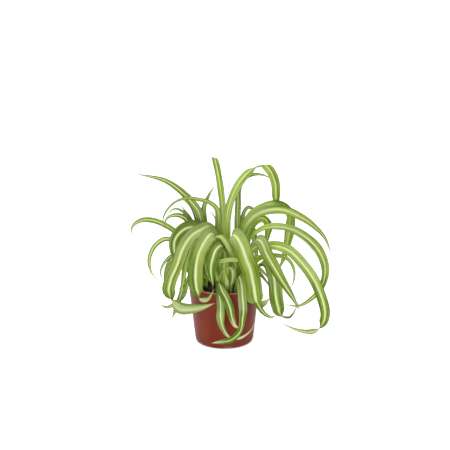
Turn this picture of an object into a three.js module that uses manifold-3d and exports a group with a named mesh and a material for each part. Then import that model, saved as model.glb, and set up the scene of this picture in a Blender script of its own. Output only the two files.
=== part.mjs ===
// A spider plant with curled, cream-striped leaves, growing in a thin plastic nursery pot.
//
// Millimetres, +Z up, +X to the plant's right and -Y to its front. The origin is the middle of
// the circle that the pot stands on. The pot is one vacuum-formed shell, the soil fills it, and
// three rooted crowns stand in plain holes in the soil. Every leaf is a piece of its own: it
// grows from a ring round its crown, rises, arches over and hangs.

import * as THREE from 'three';
import { mergeVertices } from 'three/addons/utils/BufferGeometryUtils.js';
import Module from 'manifold-3d';

const wasm = await Module();
wasm.setup();

const radians = THREE.MathUtils.degToRad;

const GAP = 0.3; // between pieces that touch
const OVERSHOOT = 5; // how far a cutting solid runs past the face that it cuts
const MERGE = 1e-4; // points closer than this are one point

// Pot
const POT_HEIGHT = 100;
const RIM_RADIUS = 60; // outside of the rolled rim
const RIM_LIP = 1.6; // how far the rim stands out from the wall
const RIM_DEPTH = 3; // height of the rolled rim
const RIM_ROUND = 0.8; // the rim's rounded edges
const WALL_TOP_RADIUS = RIM_RADIUS - RIM_LIP;
const WALL_BASE_RADIUS = 47.5;
const CORNER_RADIUS = 5; // at the foot of the wall
const CORNER_STEPS = 3;
const WALL = 1.3; // thickness of the plastic
const POT_SIDES = 60;
const CHANNELS = 6; // drainage grooves pressed up into the base
const CHANNEL_TURN = 7; // degrees, where the first groove lies right of the front
const CHANNEL_WIDTH = 18;
const CHANNEL_HEIGHT = 4.2;
const CHANNEL_START = 24; // from the middle of the base to a groove's inner end
const CHANNEL_STEPS = 6; // flats in a groove's round roof
const DRAIN_RADIUS = 3.5;
const DRAIN_REACH = 38; // from the middle of the base to a drain hole
const DRAIN_SIDES = 12;

// Soil
const SOIL_LEVEL = 90;
const SOIL_SIDES = 40;
const SOIL_RINGS = 6; // rings in the uneven top
const SOIL_BUMP = 1.5; // how far the top rises or falls
const SOIL_HOLD = 1; // points this close to the wall, or this far under the top, are not moved
const SOIL_WAVES = [33, 38]; // lengths of its long waves along X and Y
const SOIL_RIPPLES = [18, 23]; // and of the short ones that cross them
const SOIL_SHIFT = 1; // radians that the long waves are moved along X
const SOIL_SHARES = [0.6, 0.4]; // how much of the bump the long and the short waves make

// Crowns: name and place, each a short rootstock with a low domed top that the leaves grow from
const CROWNS = {
  front: [1, -27],
  left: [-24, 13],
  right: [24, 14],
};
const CROWN_RADIUS = 22;
const CROWN_RISE = 4; // the dome's middle above its edge
const CROWN_EDGE = 91; // height of the dome's edge
const CROWN_BRIM = 3; // thickness of that edge
const CROWN_DEPTH = 30; // from the brim down to the root's tip
const CROWN_SIDES = 24;
const ROOT_OUTLINE = [[0, 1], [4, 0.93], [8, 0.5], [15, 0.17]]; // radius, share of the depth

// Leaves
const FIRST_TIER = 3.5; // ring radius of the innermost leaf
const TIER_STEP = 1.1; // each later leaf stands this much further out
const SHEATH_RISE = 14; // the stretch that stands straight up from the crown
const SHEATH_LEAN = 2.5; // how far it leans out over that stretch
const BLADE = 0.8; // thickness of the solid blade
const BASE_WIDTH = 0.42; // of the sheath, as a share of the blade's full width
const BASE_WIDTH_MIN = 5;
const BASE_WIDTH_MAX = 8.5;
const TIP_WIDTH = 1.4;
const TIP_DRAW = 1.7; // power of the curve that the tip narrows by
const WIDENS = [0.06, 0.36]; // shares of the length between which the blade widens
const UNWRAPS = [0.02, 0.2]; // shares of the length between which the sheath opens flat
const KEEL = 13; // degrees that each half of the blade is folded up from flat
const CURVE_SAMPLES = 320;
const CORNERS = 6; // of the blade's section
const BEND_WEIGHT = 16; // millimetres of length that a radian of bend counts for
const RING_SPACING = 19;
const RINGS_MIN = 8;
const RINGS_MAX = 34;

// The photograph's camera, which the picked places are worked out with
const FOCAL = 1540; // pixels
const LOOKS_DOWN = 18.1; // degrees below the horizon
const DISTANCE = 2533; // from the camera to the origin, along its view
const PHOTO_MIDDLE = [225, 225]; // pixel
const PHOTO_ORIGIN = [224.3, 338]; // pixel where the origin lies

// The place at a depth (its y) that the photograph shows at a pixel, to the nearest millimetre
function at(pixelX, pixelY, depth) {
  const sin = Math.sin(radians(LOOKS_DOWN));
  const cos = Math.cos(radians(LOOKS_DOWN));
  const right = ((PHOTO_ORIGIN[0] - PHOTO_MIDDLE[0]) / FOCAL) * DISTANCE;
  const below = ((PHOTO_ORIGIN[1] - PHOTO_MIDDLE[1]) / FOCAL) * DISTANCE;
  const slope = (PHOTO_MIDDLE[1] - pixelY) / FOCAL;
  const z = (slope * (depth * cos + DISTANCE) - depth * sin + below) / (cos + slope * sin);
  const away = depth * cos - z * sin + DISTANCE;
  const x = ((pixelX - PHOTO_MIDDLE[0]) / FOCAL) * away - right;
  return [x, depth, z].map(Math.round);
}

// [name, crown, tier, turn, width, taper, roll, points]
// turn: degrees round the crown, 0 to the right and 270 to the front.
// taper: share of the length where the blade starts to narrow to its tip.
// roll: [share of the length, degrees of twist] pairs.
// points: where it goes above its sheath. at() is a place picked by eye in the photograph, with
// a depth judged from what it passes in front of. [x, y, z] is a place given in millimetres, as
// for the leaves at the back, of which the photograph shows nothing.
const LEAVES = [
  // front crown
  ['front_right_broad', 'front', 8, 305, 27, 0.86, [[0.1, 0], [0.35, 42], [0.85, 42], [0.93, 120]],
    [[9, -38, 164], [13, -41, 192], [20, -50, 191], [28, -61, 179], [36, -71, 158],
      at(250.2, 270, -79), at(253.6, 286, -86), at(254.6, 296, -90), at(257.5, 302.5, -90),
      at(263, 302.5, -85), at(270, 298.5, -80)]],
  ['front_right_inner', 'front', 5, 350, 12, 0.86, [[0.1, 0], [0.4, -15]],
    [at(236.2, 268, -34), at(232.8, 257, -48), at(229.8, 247.5, -58), at(226.4, 241, -62),
      at(222, 236.9, -64), at(215.5, 236.7, -65)]],
  ['front_left_broad', 'front', 10, 218, 25, 0.7, [[0.1, 0], [0.4, -20], [0.8, -20], [0.9, -185]],
    [[-14, -40, 168], [-15, -46, 193], [-21, -53, 197], [-30, -62, 189], at(199.5, 252, -69),
      at(196.5, 264, -75), at(195.3, 277, -79), at(197, 290, -82), at(201.5, 299.5, -83),
      at(208, 300, -81), at(214.5, 289, -74)]],
  ['front_left_narrow', 'front', 14, 192, 10, 0.5, [[0.1, 0], [0.4, -40]],
    [at(208, 262, -34), at(203, 246, -37), at(197, 240.5, -39), at(191.5, 247, -42), at(188, 259, -46),
      at(185.5, 272, -50), at(183, 285, -54), at(178.5, 296.5, -57)]],
  ['left_sweep', 'front', 6, 190, 21, 0.8, [[0.1, 0], [0.35, -30], [0.7, -40], [0.82, -210]],
    [[-9, -28, 160], [-13, -21, 186], [-24, -23, 199], [-37, -33, 198], at(192, 235.6, -38),
      at(184, 247.5, -45), at(177.5, 264, -51), at(170.5, 281, -57), at(169, 292, -61),
      at(172.5, 302.5, -66), at(180, 308.3, -72), at(190, 309, -77), at(201, 307.5, -79),
      at(214.5, 303.5, -78)]],
  ['front_left_inner', 'front', 12, 236, 16, 0.6, [[0.1, 0], [0.4, -55]],
    [[-15, -48, 140], [-18, -51, 162], [-22, -53, 173], [-27, -56, 173], [-31, -59, 163],
      [-30, -60, 149], [-27, -59, 133], [-20, -56, 119]]],
  ['front_centre', 'front', 14, 262, 20, 0.7, [[0.15, 0], [0.55, -80]],
    [at(224, 264, -52), at(224, 253, -53), at(222.8, 247, -56), at(220.2, 245.8, -62.5), at(216, 250, -68),
      at(212.8, 258.5, -70), at(211, 268, -70), at(211.3, 277, -68), at(213.5, 286, -65)]],
  ['front_small_arch', 'front', 13, 300, 14, 0.76, [[0.05, 0], [0.2, -60], [0.47, -60], [0.64, -150]],
    [at(232, 283, -51), at(233, 275, -57), at(231.5, 269, -62), at(226, 268.4, -65),
      at(221.6, 273, -68), at(219.6, 281, -70.5), at(221.5, 290, -73), at(226, 299, -76), at(230, 308, -78),
      at(232, 317, -80), at(235, 325.5, -80.5), at(240.5, 329, -79)]],
  ['front_hook_right', 'front', 16, 326, 16, 0.74, [[0.1, 0], [0.5, 5], [0.68, 34]],
    [[23, -52, 127], [27, -62, 120], [29, -74, 102], at(243.7, 312, -83), at(243.6, 317, -89),
      at(240.5, 331.5, -92), at(231, 340, -92), at(211, 343.2, -85)]],
  ['front_hook_left', 'front', 16, 246, 14, 0.5, [[0.1, 0], [0.4, 0], [0.56, 60], [0.7, 82]],
    [[-9, -55, 118], [-9, -64, 108], at(220.6, 306, -71), at(220.3, 316, -73), at(222.8, 327, -74),
      at(229, 336.2, -76), at(237.5, 337.8, -78), at(246, 334.5, -80), at(251.5, 329, -80),
      at(255, 321, -80)]],
  ['inner_cross', 'front', 12, 340, 7, 0.88, [[0, 0]],
    [at(245, 277, -41), at(246.5, 267.5, -47), at(243.5, 261.5, -57), at(237, 260, -64),
      at(229, 260, -67), at(222, 261, -65), at(214.5, 262.5, -60)]],
  ['inner_small', 'front', 15, 276, 9, 0.5, [[0, 0]],
    [at(226.5, 285, -54), at(226.3, 279.5, -57), at(225, 272, -60)]],
  ['upright_front', 'front', 0, 120, 12, 0.75, [[0, 0]],
    [at(222, 262, -20), at(222.2, 245, -13), at(222.4, 228, -7), at(222.4, 210, 0), at(220.7, 191, 9),
      at(218.3, 175, 19), at(215.8, 162.5, 30), at(214.6, 158, 43), at(215, 162.5, 57),
      at(216.5, 173, 68)]],
  ['tall_arch', 'front', 3, 60, 15, 0.86, [[0.06, 0], [0.2, 60], [0.58, 60], [0.65, 130], [0.72, 60]],
    [[6, -18, 142], [4, -12, 174], [3, -5, 204], at(230, 202, 1), at(238.5, 183, 8),
      at(247.2, 172.5, 13), at(257.2, 166, 18), at(265, 165.5, 21), at(271.3, 171.5, 26),
      at(275.3, 183, 36), at(275.6, 194.5, 49), at(275.5, 205, 58), at(274, 214, 62)]],

  // left crown
  ['left_upright', 'left', 0, 100, 12, 0.5, [[0, 0]],
    [[-24, 25, 123], [-28, 29, 157], [-33, 31, 191], at(204, 207, 32), at(208.5, 196, 33),
      at(215.8, 184.5, 34)]],
  ['inner_pale', 'left', 1, 330, 7, 0.5, [[0, 0]],
    [at(216, 262, 2), at(217.5, 245, -2), at(217.2, 231, -5), at(215.5, 219, -6), at(211, 212.5, -4),
      at(206, 216, 0)]],
  ['left_arch', 'left', 3, 60, 12, 0.6, [[0, 0]],
    [[-15, 19, 126], [-12, 16, 165], at(218.8, 222, 12), at(218.3, 209.5, 10), at(211, 202.7, 7),
      at(200, 198.7, 3), at(187, 197.6, -1), at(174, 201.8, -5), at(165.5, 212, -8),
      at(163.2, 221, -10), at(167, 228, -11)]],
  ['left_straight', 'left', 5, 140, 13, 0.5, [[0.1, 0], [0.5, -35]],
    [[-31, 21, 142], [-36, 21, 183], at(198, 211, 21), at(190, 200, 20), at(179, 189, 18),
      at(165, 180.7, 14), at(150, 176.3, 10), at(135, 174, 6)]],
  ['left_under', 'left', 7, 125, 10, 0.5, [[0.1, 0], [0.5, -35]],
    [[-31, 33, 134], [-41, 38, 170], [-46, 37, 198], [-56, 37, 218], [-71, 35, 230]]],
  ['left_thin_arch', 'left', 8, 158, 7, 0.5, [[0.1, 0], [0.5, -50]],
    [[-41, 29, 146], [-53, 28, 187], [-66, 26, 209], at(175, 208.5, 22), at(165, 216, 17)]],
  ['left_behind', 'left', 9, 140, 8, 0.5, [[0.1, 0], [0.5, -25]],
    [[-38, 40, 138], [-46, 44, 171], [-56, 45, 193], [-73, 43, 218]]],
  ['left_back_arch', 'left', 10, 176, 12, 0.5, [[0.1, 0], [0.4, -50]],
    [[-44, 16, 141], [-51, 16, 178], [-62, 15, 201], [-76, 13, 208], [-91, 12, 204], [-99, 11, 187]]],
  ['left_dark_arch', 'left', 11, 205, 23, 0.54, [[0.1, 0], [0.4, -45]],
    [[-30, 6, 146], [-31, 1, 173], [-39, -5, 191], [-53, -10, 195], [-68, -15, 190], [-78, -20, 178],
      [-80, -24, 161], [-75, -27, 140], [-71, -29, 119]]],
  ['left_far_arch', 'left', 13, 188, 10, 0.72, [[0.1, 0], [0.4, -50]],
    [[-44, 8, 125], [-60, 7, 159], at(177, 233.5, 6), at(166, 226, 3), at(153, 220.8, 0),
      at(141, 220.3, -3), at(133.2, 226, -6), at(130.5, 236, -9)]],
  ['left_loop_large', 'left', 15, 198, 8, 0.6, [[0.1, 0], [0.4, -50]],
    [at(192, 271, 2), at(183, 253, -3), at(174.5, 241.5, -8), at(165, 239, -13), at(155, 246, -18),
      at(149.6, 259, -21), at(151.5, 272, -24), at(154.5, 276, -27), at(162, 284.5, -30)]],
  ['left_loop_small', 'left', 16, 215, 8, 0.4, [[0.1, 0], [0.4, -50]],
    [at(190, 276, -8), at(182, 261, -14), at(173.5, 255.8, -19), at(165, 262, -24),
      at(160.8, 273, -28), at(165, 283, -31)]],
  ['left_drop', 'left', 13, 235, 9, 0.85, [[0.1, 0], [0.4, -30]],
    [at(199, 270, -12), at(193, 254.5, -21), at(187, 258.5, -30), at(184, 273, -36), at(183, 288, -40),
      at(177.5, 305, -44), at(172, 318.5, -45)]],
  ['left_low_tip', 'left', 15, 255, 8, 0.8, [[0.1, 0], [0.4, -40]],
    [at(200, 279, -16), [-49, -24, 120], [-57, -30, 109], [-64, -35, 89], [-77, -38, 76],
      [-92, -39, 69], [-104, -39, 74]]],
  ['left_cross', 'front', 15, 170, 7, 0.5, [[0.1, 0], [0.5, -40]],
    [at(205, 278, -26), at(198, 270, -34), at(191, 273.5, -41), at(186, 281, -45), at(181, 287.5, -47),
      at(174.5, 288, -46)]],

  // right crown
  ['upright_back', 'right', 0, 110, 11, 0.48, [[0, 0]],
    [[22, 20, 127], [22, 26, 155], [21, 32, 186], [22, 36, 220], at(238.5, 190, 40),
      at(242, 180.5, 46), at(249, 176, 54), at(258, 174.3, 60), at(267, 176.5, 64), at(273, 180.5, 66)]],
  ['small_back_curl', 'right', 4, 92, 9, 0.5, [[0.1, 0], [0.6, 30]],
    [[22, 38, 130], [25, 48, 156], [28, 55, 181], [32, 60, 198], [39, 65, 205], at(254.5, 210.5, 71),
      at(258.5, 222, 77)]],
  ['right_hanging', 'right', 6, 56, 15, 0.75, [[0.1, 0], [0.7, 60]],
    [[32, 33, 120], [35, 38, 150], [41, 40, 176], [51, 41, 190], [64, 41, 194], [73, 40, 182],
      [71, 38, 165], [68, 36, 145]]],
  ['right_high_arch', 'right', 7, 10, 16, 0.5, [[0.1, 0], [0.4, 45]],
    [[31, 15, 126], [27, 14, 150], [28, 14, 174], [38, 14, 194], at(258, 214, 14), at(270, 210, 13),
      at(284, 210.4, 11), at(299, 216, 8), at(313, 225.5, 5), at(325, 238, 2), at(331.5, 254.5, -2)]],
  ['right_band', 'right', 9, 22, 19, 0.74, [[0.1, 0], [0.4, 0], [0.56, 8], [0.71, 65]],
    [[36, 20, 120], [33, 25, 152], [32, 29, 178], [40, 32, 197], [58, 35, 212], [77, 38, 218],
      [95, 41, 214], [106, 43, 199], at(289, 230, 45), at(286.5, 246, 46), at(282.5, 260, 42),
      at(277.5, 271, 38)]],
  ['right_wide_arch', 'right', 10, 350, 16, 0.56, [[0.1, 0], [0.3, 20], [0.42, 25], [0.6, 60]],
    [at(248, 250, 6), at(253, 236.5, 4), at(262, 229.5, 1), at(275, 226.9, -2), at(290, 229.3, -7),
      at(306, 237.5, -12), at(319, 251, -16), at(325, 269, -20), at(322, 286, -23),
      at(311, 298.5, -26), at(298, 306, -29), at(283.5, 303.7, -31)]],
  ['right_diagonal', 'right', 11, 295, 22, 0.54, [[0.12, 0], [0.32, 35]],
    [[34, -20, 127], [43, -31, 164], [51, -38, 183], [58, -46, 182], [67, -54, 164], at(275, 269, -63),
      at(284, 284, -71), at(292.5, 297.5, -77), at(300, 311.5, -80)]],
  ['right_short', 'right', 12, 5, 8, 0.4, [[0.1, 0], [0.5, 50]],
    [[46, 10, 120], at(260, 258.5, 4), at(267, 255.5, -1), at(277, 255.3, -6), at(285.5, 256.8, -11),
      at(291.5, 263, -15), at(294.5, 273, -17), at(293, 283, -18), at(288, 291.3, -18)]],
  ['right_low_sweep', 'right', 13, 335, 17, 0.66, [[0.1, 0], [0.35, 45], [0.73, 55], [0.86, 230]],
    [[45, -2, 135], [57, -10, 160], [73, -19, 167], [90, -28, 168], [106, -35, 162], at(303, 264, -43),
      at(313.5, 279, -49), at(321, 296, -53), at(325.3, 313, -56), at(322, 326, -56),
      at(312, 332, -53), at(298, 330.3, -49), at(281.5, 323, -45)]],
  ['right_blade', 'right', 15, 308, 23, 0.62, [[0.15, 0], [0.45, 38], [0.7, 38], [0.8, 120]],
    [[44, -12, 116], [56, -20, 136], [67, -29, 143], at(269.5, 264, -36), at(273, 273, -42),
      at(275, 284, -48), at(276, 295, -52), at(277.3, 305, -55), at(281.5, 314.5, -56),
      at(288.5, 316, -55), at(292.5, 313, -54), at(297, 305.5, -54), at(299.5, 298, -53)]],
  ['right_short_low', 'right', 16, 325, 8, 0.5, [[0.1, 0], [0.5, 40]],
    [[46, -3, 106], at(257, 268.5, -5), at(262, 264.5, -9), at(267.5, 267, -14), at(272, 275, -18)]],
  ['right_cross_low', 'front', 12, 10, 7, 0.5, [[0.1, 0], [0.5, 40]],
    [at(240, 278, -26), at(246, 271, -29), at(253, 270, -31), at(260, 274, -33), at(266, 281, -34),
      at(271, 289, -33)]],
  ['right_low_curl', 'right', 16, 278, 11, 0.6, [[0.1, 0], [0.5, 30]],
    [at(245, 281, -28), at(249.5, 281, -42), at(253, 292, -53), at(257.5, 304, -59),
      at(264.5, 313.5, -61), at(272, 316.8, -61), at(277, 314.5, -60)]],
  ['right_thin_curl', 'front', 16, 352, 6, 0.8, [[0.1, 0], [0.5, 40]],
    [at(245, 275, -34), at(249, 268.5, -38), at(254, 266, -41), at(259, 268.5, -43),
      at(264, 272.5, -44), at(268, 278, -44)]],

  // leaves that arch to the back
  ['back_centre_tall', 'front', 4, 90, 15, 0.55, [[0, 0]],
    [[2, -8, 146], [3, 8, 182], [3, 40, 196], [2, 72, 178], [2, 94, 140], [2, 104, 98]]],
  ['back_right_tall', 'right', 13, 78, 14, 0.55, [[0, 0]],
    [[32, 47, 134], [36, 62, 166], [40, 88, 170], [48, 110, 146], [54, 124, 108], [56, 128, 76]]],
  ['back_left_tall', 'left', 9, 70, 14, 0.55, [[0, 0]],
    [[-17, 34, 138], [-14, 50, 164], [-12, 76, 167], [-9, 102, 142], [-8, 120, 104], [-10, 126, 70]]],
  ['back_left_mid', 'left', 12, 95, 16, 0.6, [[0, 0]],
    [[-24, 40, 130], [-24, 58, 152], [-22, 84, 150], [-20, 108, 122], [-20, 122, 84], [-24, 126, 52]]],
  ['back_left_low', 'left', 14, 112, 13, 0.55, [[0, 0]],
    [[-34, 40, 116], [-42, 60, 130], [-52, 86, 120], [-58, 104, 90], [-60, 110, 56]]],
  ['back_left_side', 'left', 15, 132, 15, 0.6, [[0, 0]],
    [[-42, 32, 120], [-56, 46, 138], [-74, 62, 134], [-90, 74, 108], [-98, 78, 74], [-96, 74, 44]]],
  ['back_left_reach', 'left', 16, 160, 11, 0.5, [[0, 0]],
    [[-50, 22, 114], [-62, 32, 127], [-74, 44, 120], [-84, 51, 94], [-87, 53, 62], [-84, 48, 38]]],
  ['back_right_mid', 'right', 12, 95, 16, 0.6, [[0, 0]],
    [[19, 41, 126], [18, 56, 146], [22, 80, 148], [26, 104, 124], [32, 120, 88], [38, 124, 60]]],
  ['back_right_side', 'right', 15, 60, 15, 0.6, [[0, 0]],
    [[38, 38, 120], [50, 54, 138], [66, 74, 134], [80, 90, 106], [88, 96, 74], [90, 94, 48]]],
  ['back_right_low', 'right', 14, 35, 12, 0.5, [[0, 0]],
    [[46, 31, 116], [56, 42, 128], [68, 56, 120], [76, 67, 96], [79, 71, 66], [77, 69, 40]]],
  ['back_right_short', 'right', 14, 115, 13, 0.55, [[0, 0]],
    [[12, 42, 114], [8, 60, 124], [4, 84, 114], [2, 102, 86], [2, 108, 54]]],
];

const MATERIALS = {
  pot: new THREE.MeshStandardMaterial({ color: '#8f3c2e', roughness: 0.55 }),
  soil: new THREE.MeshStandardMaterial({ color: '#2c231f', roughness: 1 }),
  crown: new THREE.MeshStandardMaterial({ color: '#73603e', roughness: 0.8 }),
  leaf: new THREE.MeshStandardMaterial({ color: '#88a845', roughness: 0.5, side: THREE.DoubleSide }),
};

// A closed geometry as a solid that can be joined and cut
function solid(geometry) {
  const bare = geometry.clone();
  bare.deleteAttribute('normal');
  bare.deleteAttribute('uv');
  const merged = mergeVertices(bare, MERGE);
  return new wasm.Manifold(new wasm.Mesh({
    numProp: 3,
    vertProperties: new Float32Array(merged.getAttribute('position').array),
    triVerts: new Uint32Array(merged.index.array),
  }));
}

function geometryOf(manifold) {
  const mesh = manifold.getMesh();
  const geometry = new THREE.BufferGeometry();
  geometry.setAttribute('position', new THREE.BufferAttribute(new Float32Array(mesh.vertProperties), 3));
  geometry.setIndex(new THREE.BufferAttribute(new Uint32Array(mesh.triVerts), 1));
  geometry.computeVertexNormals();
  return geometry;
}

// A closed lathe solid from [radius, height] points that run from the axis, round the outside
// and back to the axis, turned so that its axis is Z
function turned(profile, sides) {
  const points = profile.map(([radius, height]) => new THREE.Vector2(radius, height));
  return new THREE.LatheGeometry(points, sides).rotateX(Math.PI / 2);
}

// The round corner at the foot of a wall, from the floor up to the wall
function corner(radius, height, bend) {
  return Array.from({ length: CORNER_STEPS + 1 }, (_, i) => {
    const a = (i / CORNER_STEPS) * (Math.PI / 2);
    return [radius - bend + bend * Math.sin(a), height + bend - bend * Math.cos(a)];
  });
}

// Outside of the pot's wall, without its rim, at a height
function wallRadius(height) {
  return WALL_BASE_RADIUS + (WALL_TOP_RADIUS - WALL_BASE_RADIUS) * (height / POT_HEIGHT);
}

// Direction of each groove, from the middle of the base
const channelTurns = Array.from({ length: CHANNELS }, (_, i) => (
  radians(CHANNEL_TURN - 90 + (360 / CHANNELS) * i)
));

// The grooves under the base, grown by an amount for the plastic over them or the soil over that
function channels(grow) {
  const half = CHANNEL_WIDTH / 2 + grow;
  const top = CHANNEL_HEIGHT + grow;
  const shape = new THREE.Shape();
  shape.moveTo(half, -OVERSHOOT);
  for (let i = 0; i <= CHANNEL_STEPS; i++) {
    const a = (i / CHANNEL_STEPS) * Math.PI;
    shape.lineTo(half * Math.cos(a), top * Math.sin(a));
  }
  shape.lineTo(-half, -OVERSHOOT);
  const length = RIM_RADIUS - CHANNEL_START + grow;
  // extruded along Z, then laid down to run outwards along +X
  const bar = new THREE.ExtrudeGeometry(shape, { depth: length, bevelEnabled: false, steps: 1 })
    .rotateX(Math.PI / 2)
    .rotateZ(Math.PI / 2)
    .translate(CHANNEL_START - grow, 0, 0);
  return channelTurns.map((turn) => solid(bar.clone().rotateZ(turn))).reduce((all, one) => all.add(one));
}

function makePot() {
  const outside = [
    [0, 0],
    ...corner(WALL_BASE_RADIUS, 0, CORNER_RADIUS),
    [wallRadius(POT_HEIGHT - RIM_DEPTH), POT_HEIGHT - RIM_DEPTH],
    [RIM_RADIUS, POT_HEIGHT - RIM_DEPTH + RIM_ROUND],
    [RIM_RADIUS, POT_HEIGHT - RIM_ROUND],
    [RIM_RADIUS - RIM_ROUND, POT_HEIGHT],
    [0, POT_HEIGHT],
  ];
  const inside = [
    [0, WALL],
    ...corner(WALL_BASE_RADIUS - WALL, WALL, CORNER_RADIUS - WALL),
    [wallRadius(POT_HEIGHT) - WALL, POT_HEIGHT],
    [wallRadius(POT_HEIGHT) - WALL, POT_HEIGHT + OVERSHOOT],
    [0, POT_HEIGHT + OVERSHOOT],
  ];
  let pot = solid(turned(outside, POT_SIDES)).subtract(channels(0));
  pot = pot.subtract(solid(turned(inside, POT_SIDES)).subtract(channels(WALL)));
  const drain = new THREE.CylinderGeometry(DRAIN_RADIUS, DRAIN_RADIUS, 2 * OVERSHOOT, DRAIN_SIDES)
    .rotateX(Math.PI / 2)
    .translate(DRAIN_REACH, 0, CHANNEL_HEIGHT);
  for (const turn of channelTurns) {
    pot = pot.subtract(solid(drain.clone().rotateZ(turn)));
  }
  return geometryOf(pot);
}

// The uneven top of the soil at a place
function soilTop(x, y) {
  const full = 2 * Math.PI;
  const wave = Math.sin((full * x) / SOIL_WAVES[0] + SOIL_SHIFT) * Math.cos((full * y) / SOIL_WAVES[1]);
  const ripple = Math.sin(full * (x / SOIL_RIPPLES[0] - y / SOIL_RIPPLES[1]));
  return SOIL_LEVEL + SOIL_BUMP * (SOIL_SHARES[0] * wave + SOIL_SHARES[1] * ripple);
}

// Outline of a crown below its dome, [radius, height], grown on every side by an amount
function crownProfile(grow) {
  const brim = CROWN_EDGE - CROWN_BRIM - grow;
  const root = ROOT_OUTLINE.map(([radius, share]) => [radius && radius + grow, brim - CROWN_DEPTH * share]);
  return [...root, [CROWN_RADIUS + grow, brim]];
}

// Height of a crown's dome at a distance from its axis
function crownTop(radius) {
  return CROWN_EDGE + CROWN_RISE * (1 - radius / CROWN_RADIUS);
}

function makeCrown([x, y]) {
  const profile = [...crownProfile(0), [CROWN_RADIUS, CROWN_EDGE], [0, CROWN_EDGE + CROWN_RISE]];
  return turned(profile, CROWN_SIDES).translate(x, y, 0);
}

function makeSoil() {
  const inner = WALL + GAP;
  const wallTop = wallRadius(SOIL_LEVEL) - inner;
  const top = Array.from({ length: SOIL_RINGS }, (_, i) => [wallTop * (1 - i / SOIL_RINGS), SOIL_LEVEL]);
  const profile = [
    [0, inner],
    ...corner(WALL_BASE_RADIUS - inner, inner, CORNER_RADIUS - WALL),
    ...top,
    [0, SOIL_LEVEL],
  ];
  const block = turned(profile, SOIL_SIDES);
  const place = block.getAttribute('position');
  for (let i = 0; i < place.count; i++) {
    const reach = Math.hypot(place.getX(i), place.getY(i));
    if (place.getZ(i) > SOIL_LEVEL - SOIL_HOLD && reach < wallTop - SOIL_HOLD) {
      place.setZ(i, soilTop(place.getX(i), place.getY(i)));
    }
  }
  let soil = solid(block).subtract(channels(inner));
  for (const [x, y] of Object.values(CROWNS)) {
    const mouth = CROWN_EDGE + OVERSHOOT;
    const hole = [...crownProfile(GAP), [CROWN_RADIUS + GAP, mouth], [0, mouth]];
    soil = soil.subtract(solid(turned(hole, CROWN_SIDES).translate(x, y, 0)));
  }
  return geometryOf(soil);
}

// Twist at a share of the length from [share, degrees] pairs, eased from each to the next
function twistAt(share, pairs) {
  const next = pairs.findIndex(([at]) => at > share);
  if (next === 0) return pairs[0][1];
  if (next < 0) return pairs[pairs.length - 1][1];
  const [from, low] = pairs[next - 1];
  const [to, high] = pairs[next];
  return low + (high - low) * THREE.MathUtils.smoothstep(share, from, to);
}

// Width of a blade at a share of its length: narrow sheath, full middle, drawn-out tip
function bladeWidth(share, width, taper) {
  const base = THREE.MathUtils.clamp(BASE_WIDTH * width, BASE_WIDTH_MIN, BASE_WIDTH_MAX);
  const swell = THREE.MathUtils.smoothstep(share, ...WIDENS);
  const fall = Math.max(0, (share - taper) / (1 - taper));
  return Math.max(TIP_WIDTH, (base + (width - base) * swell) * (1 - fall ** TIP_DRAW));
}

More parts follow.
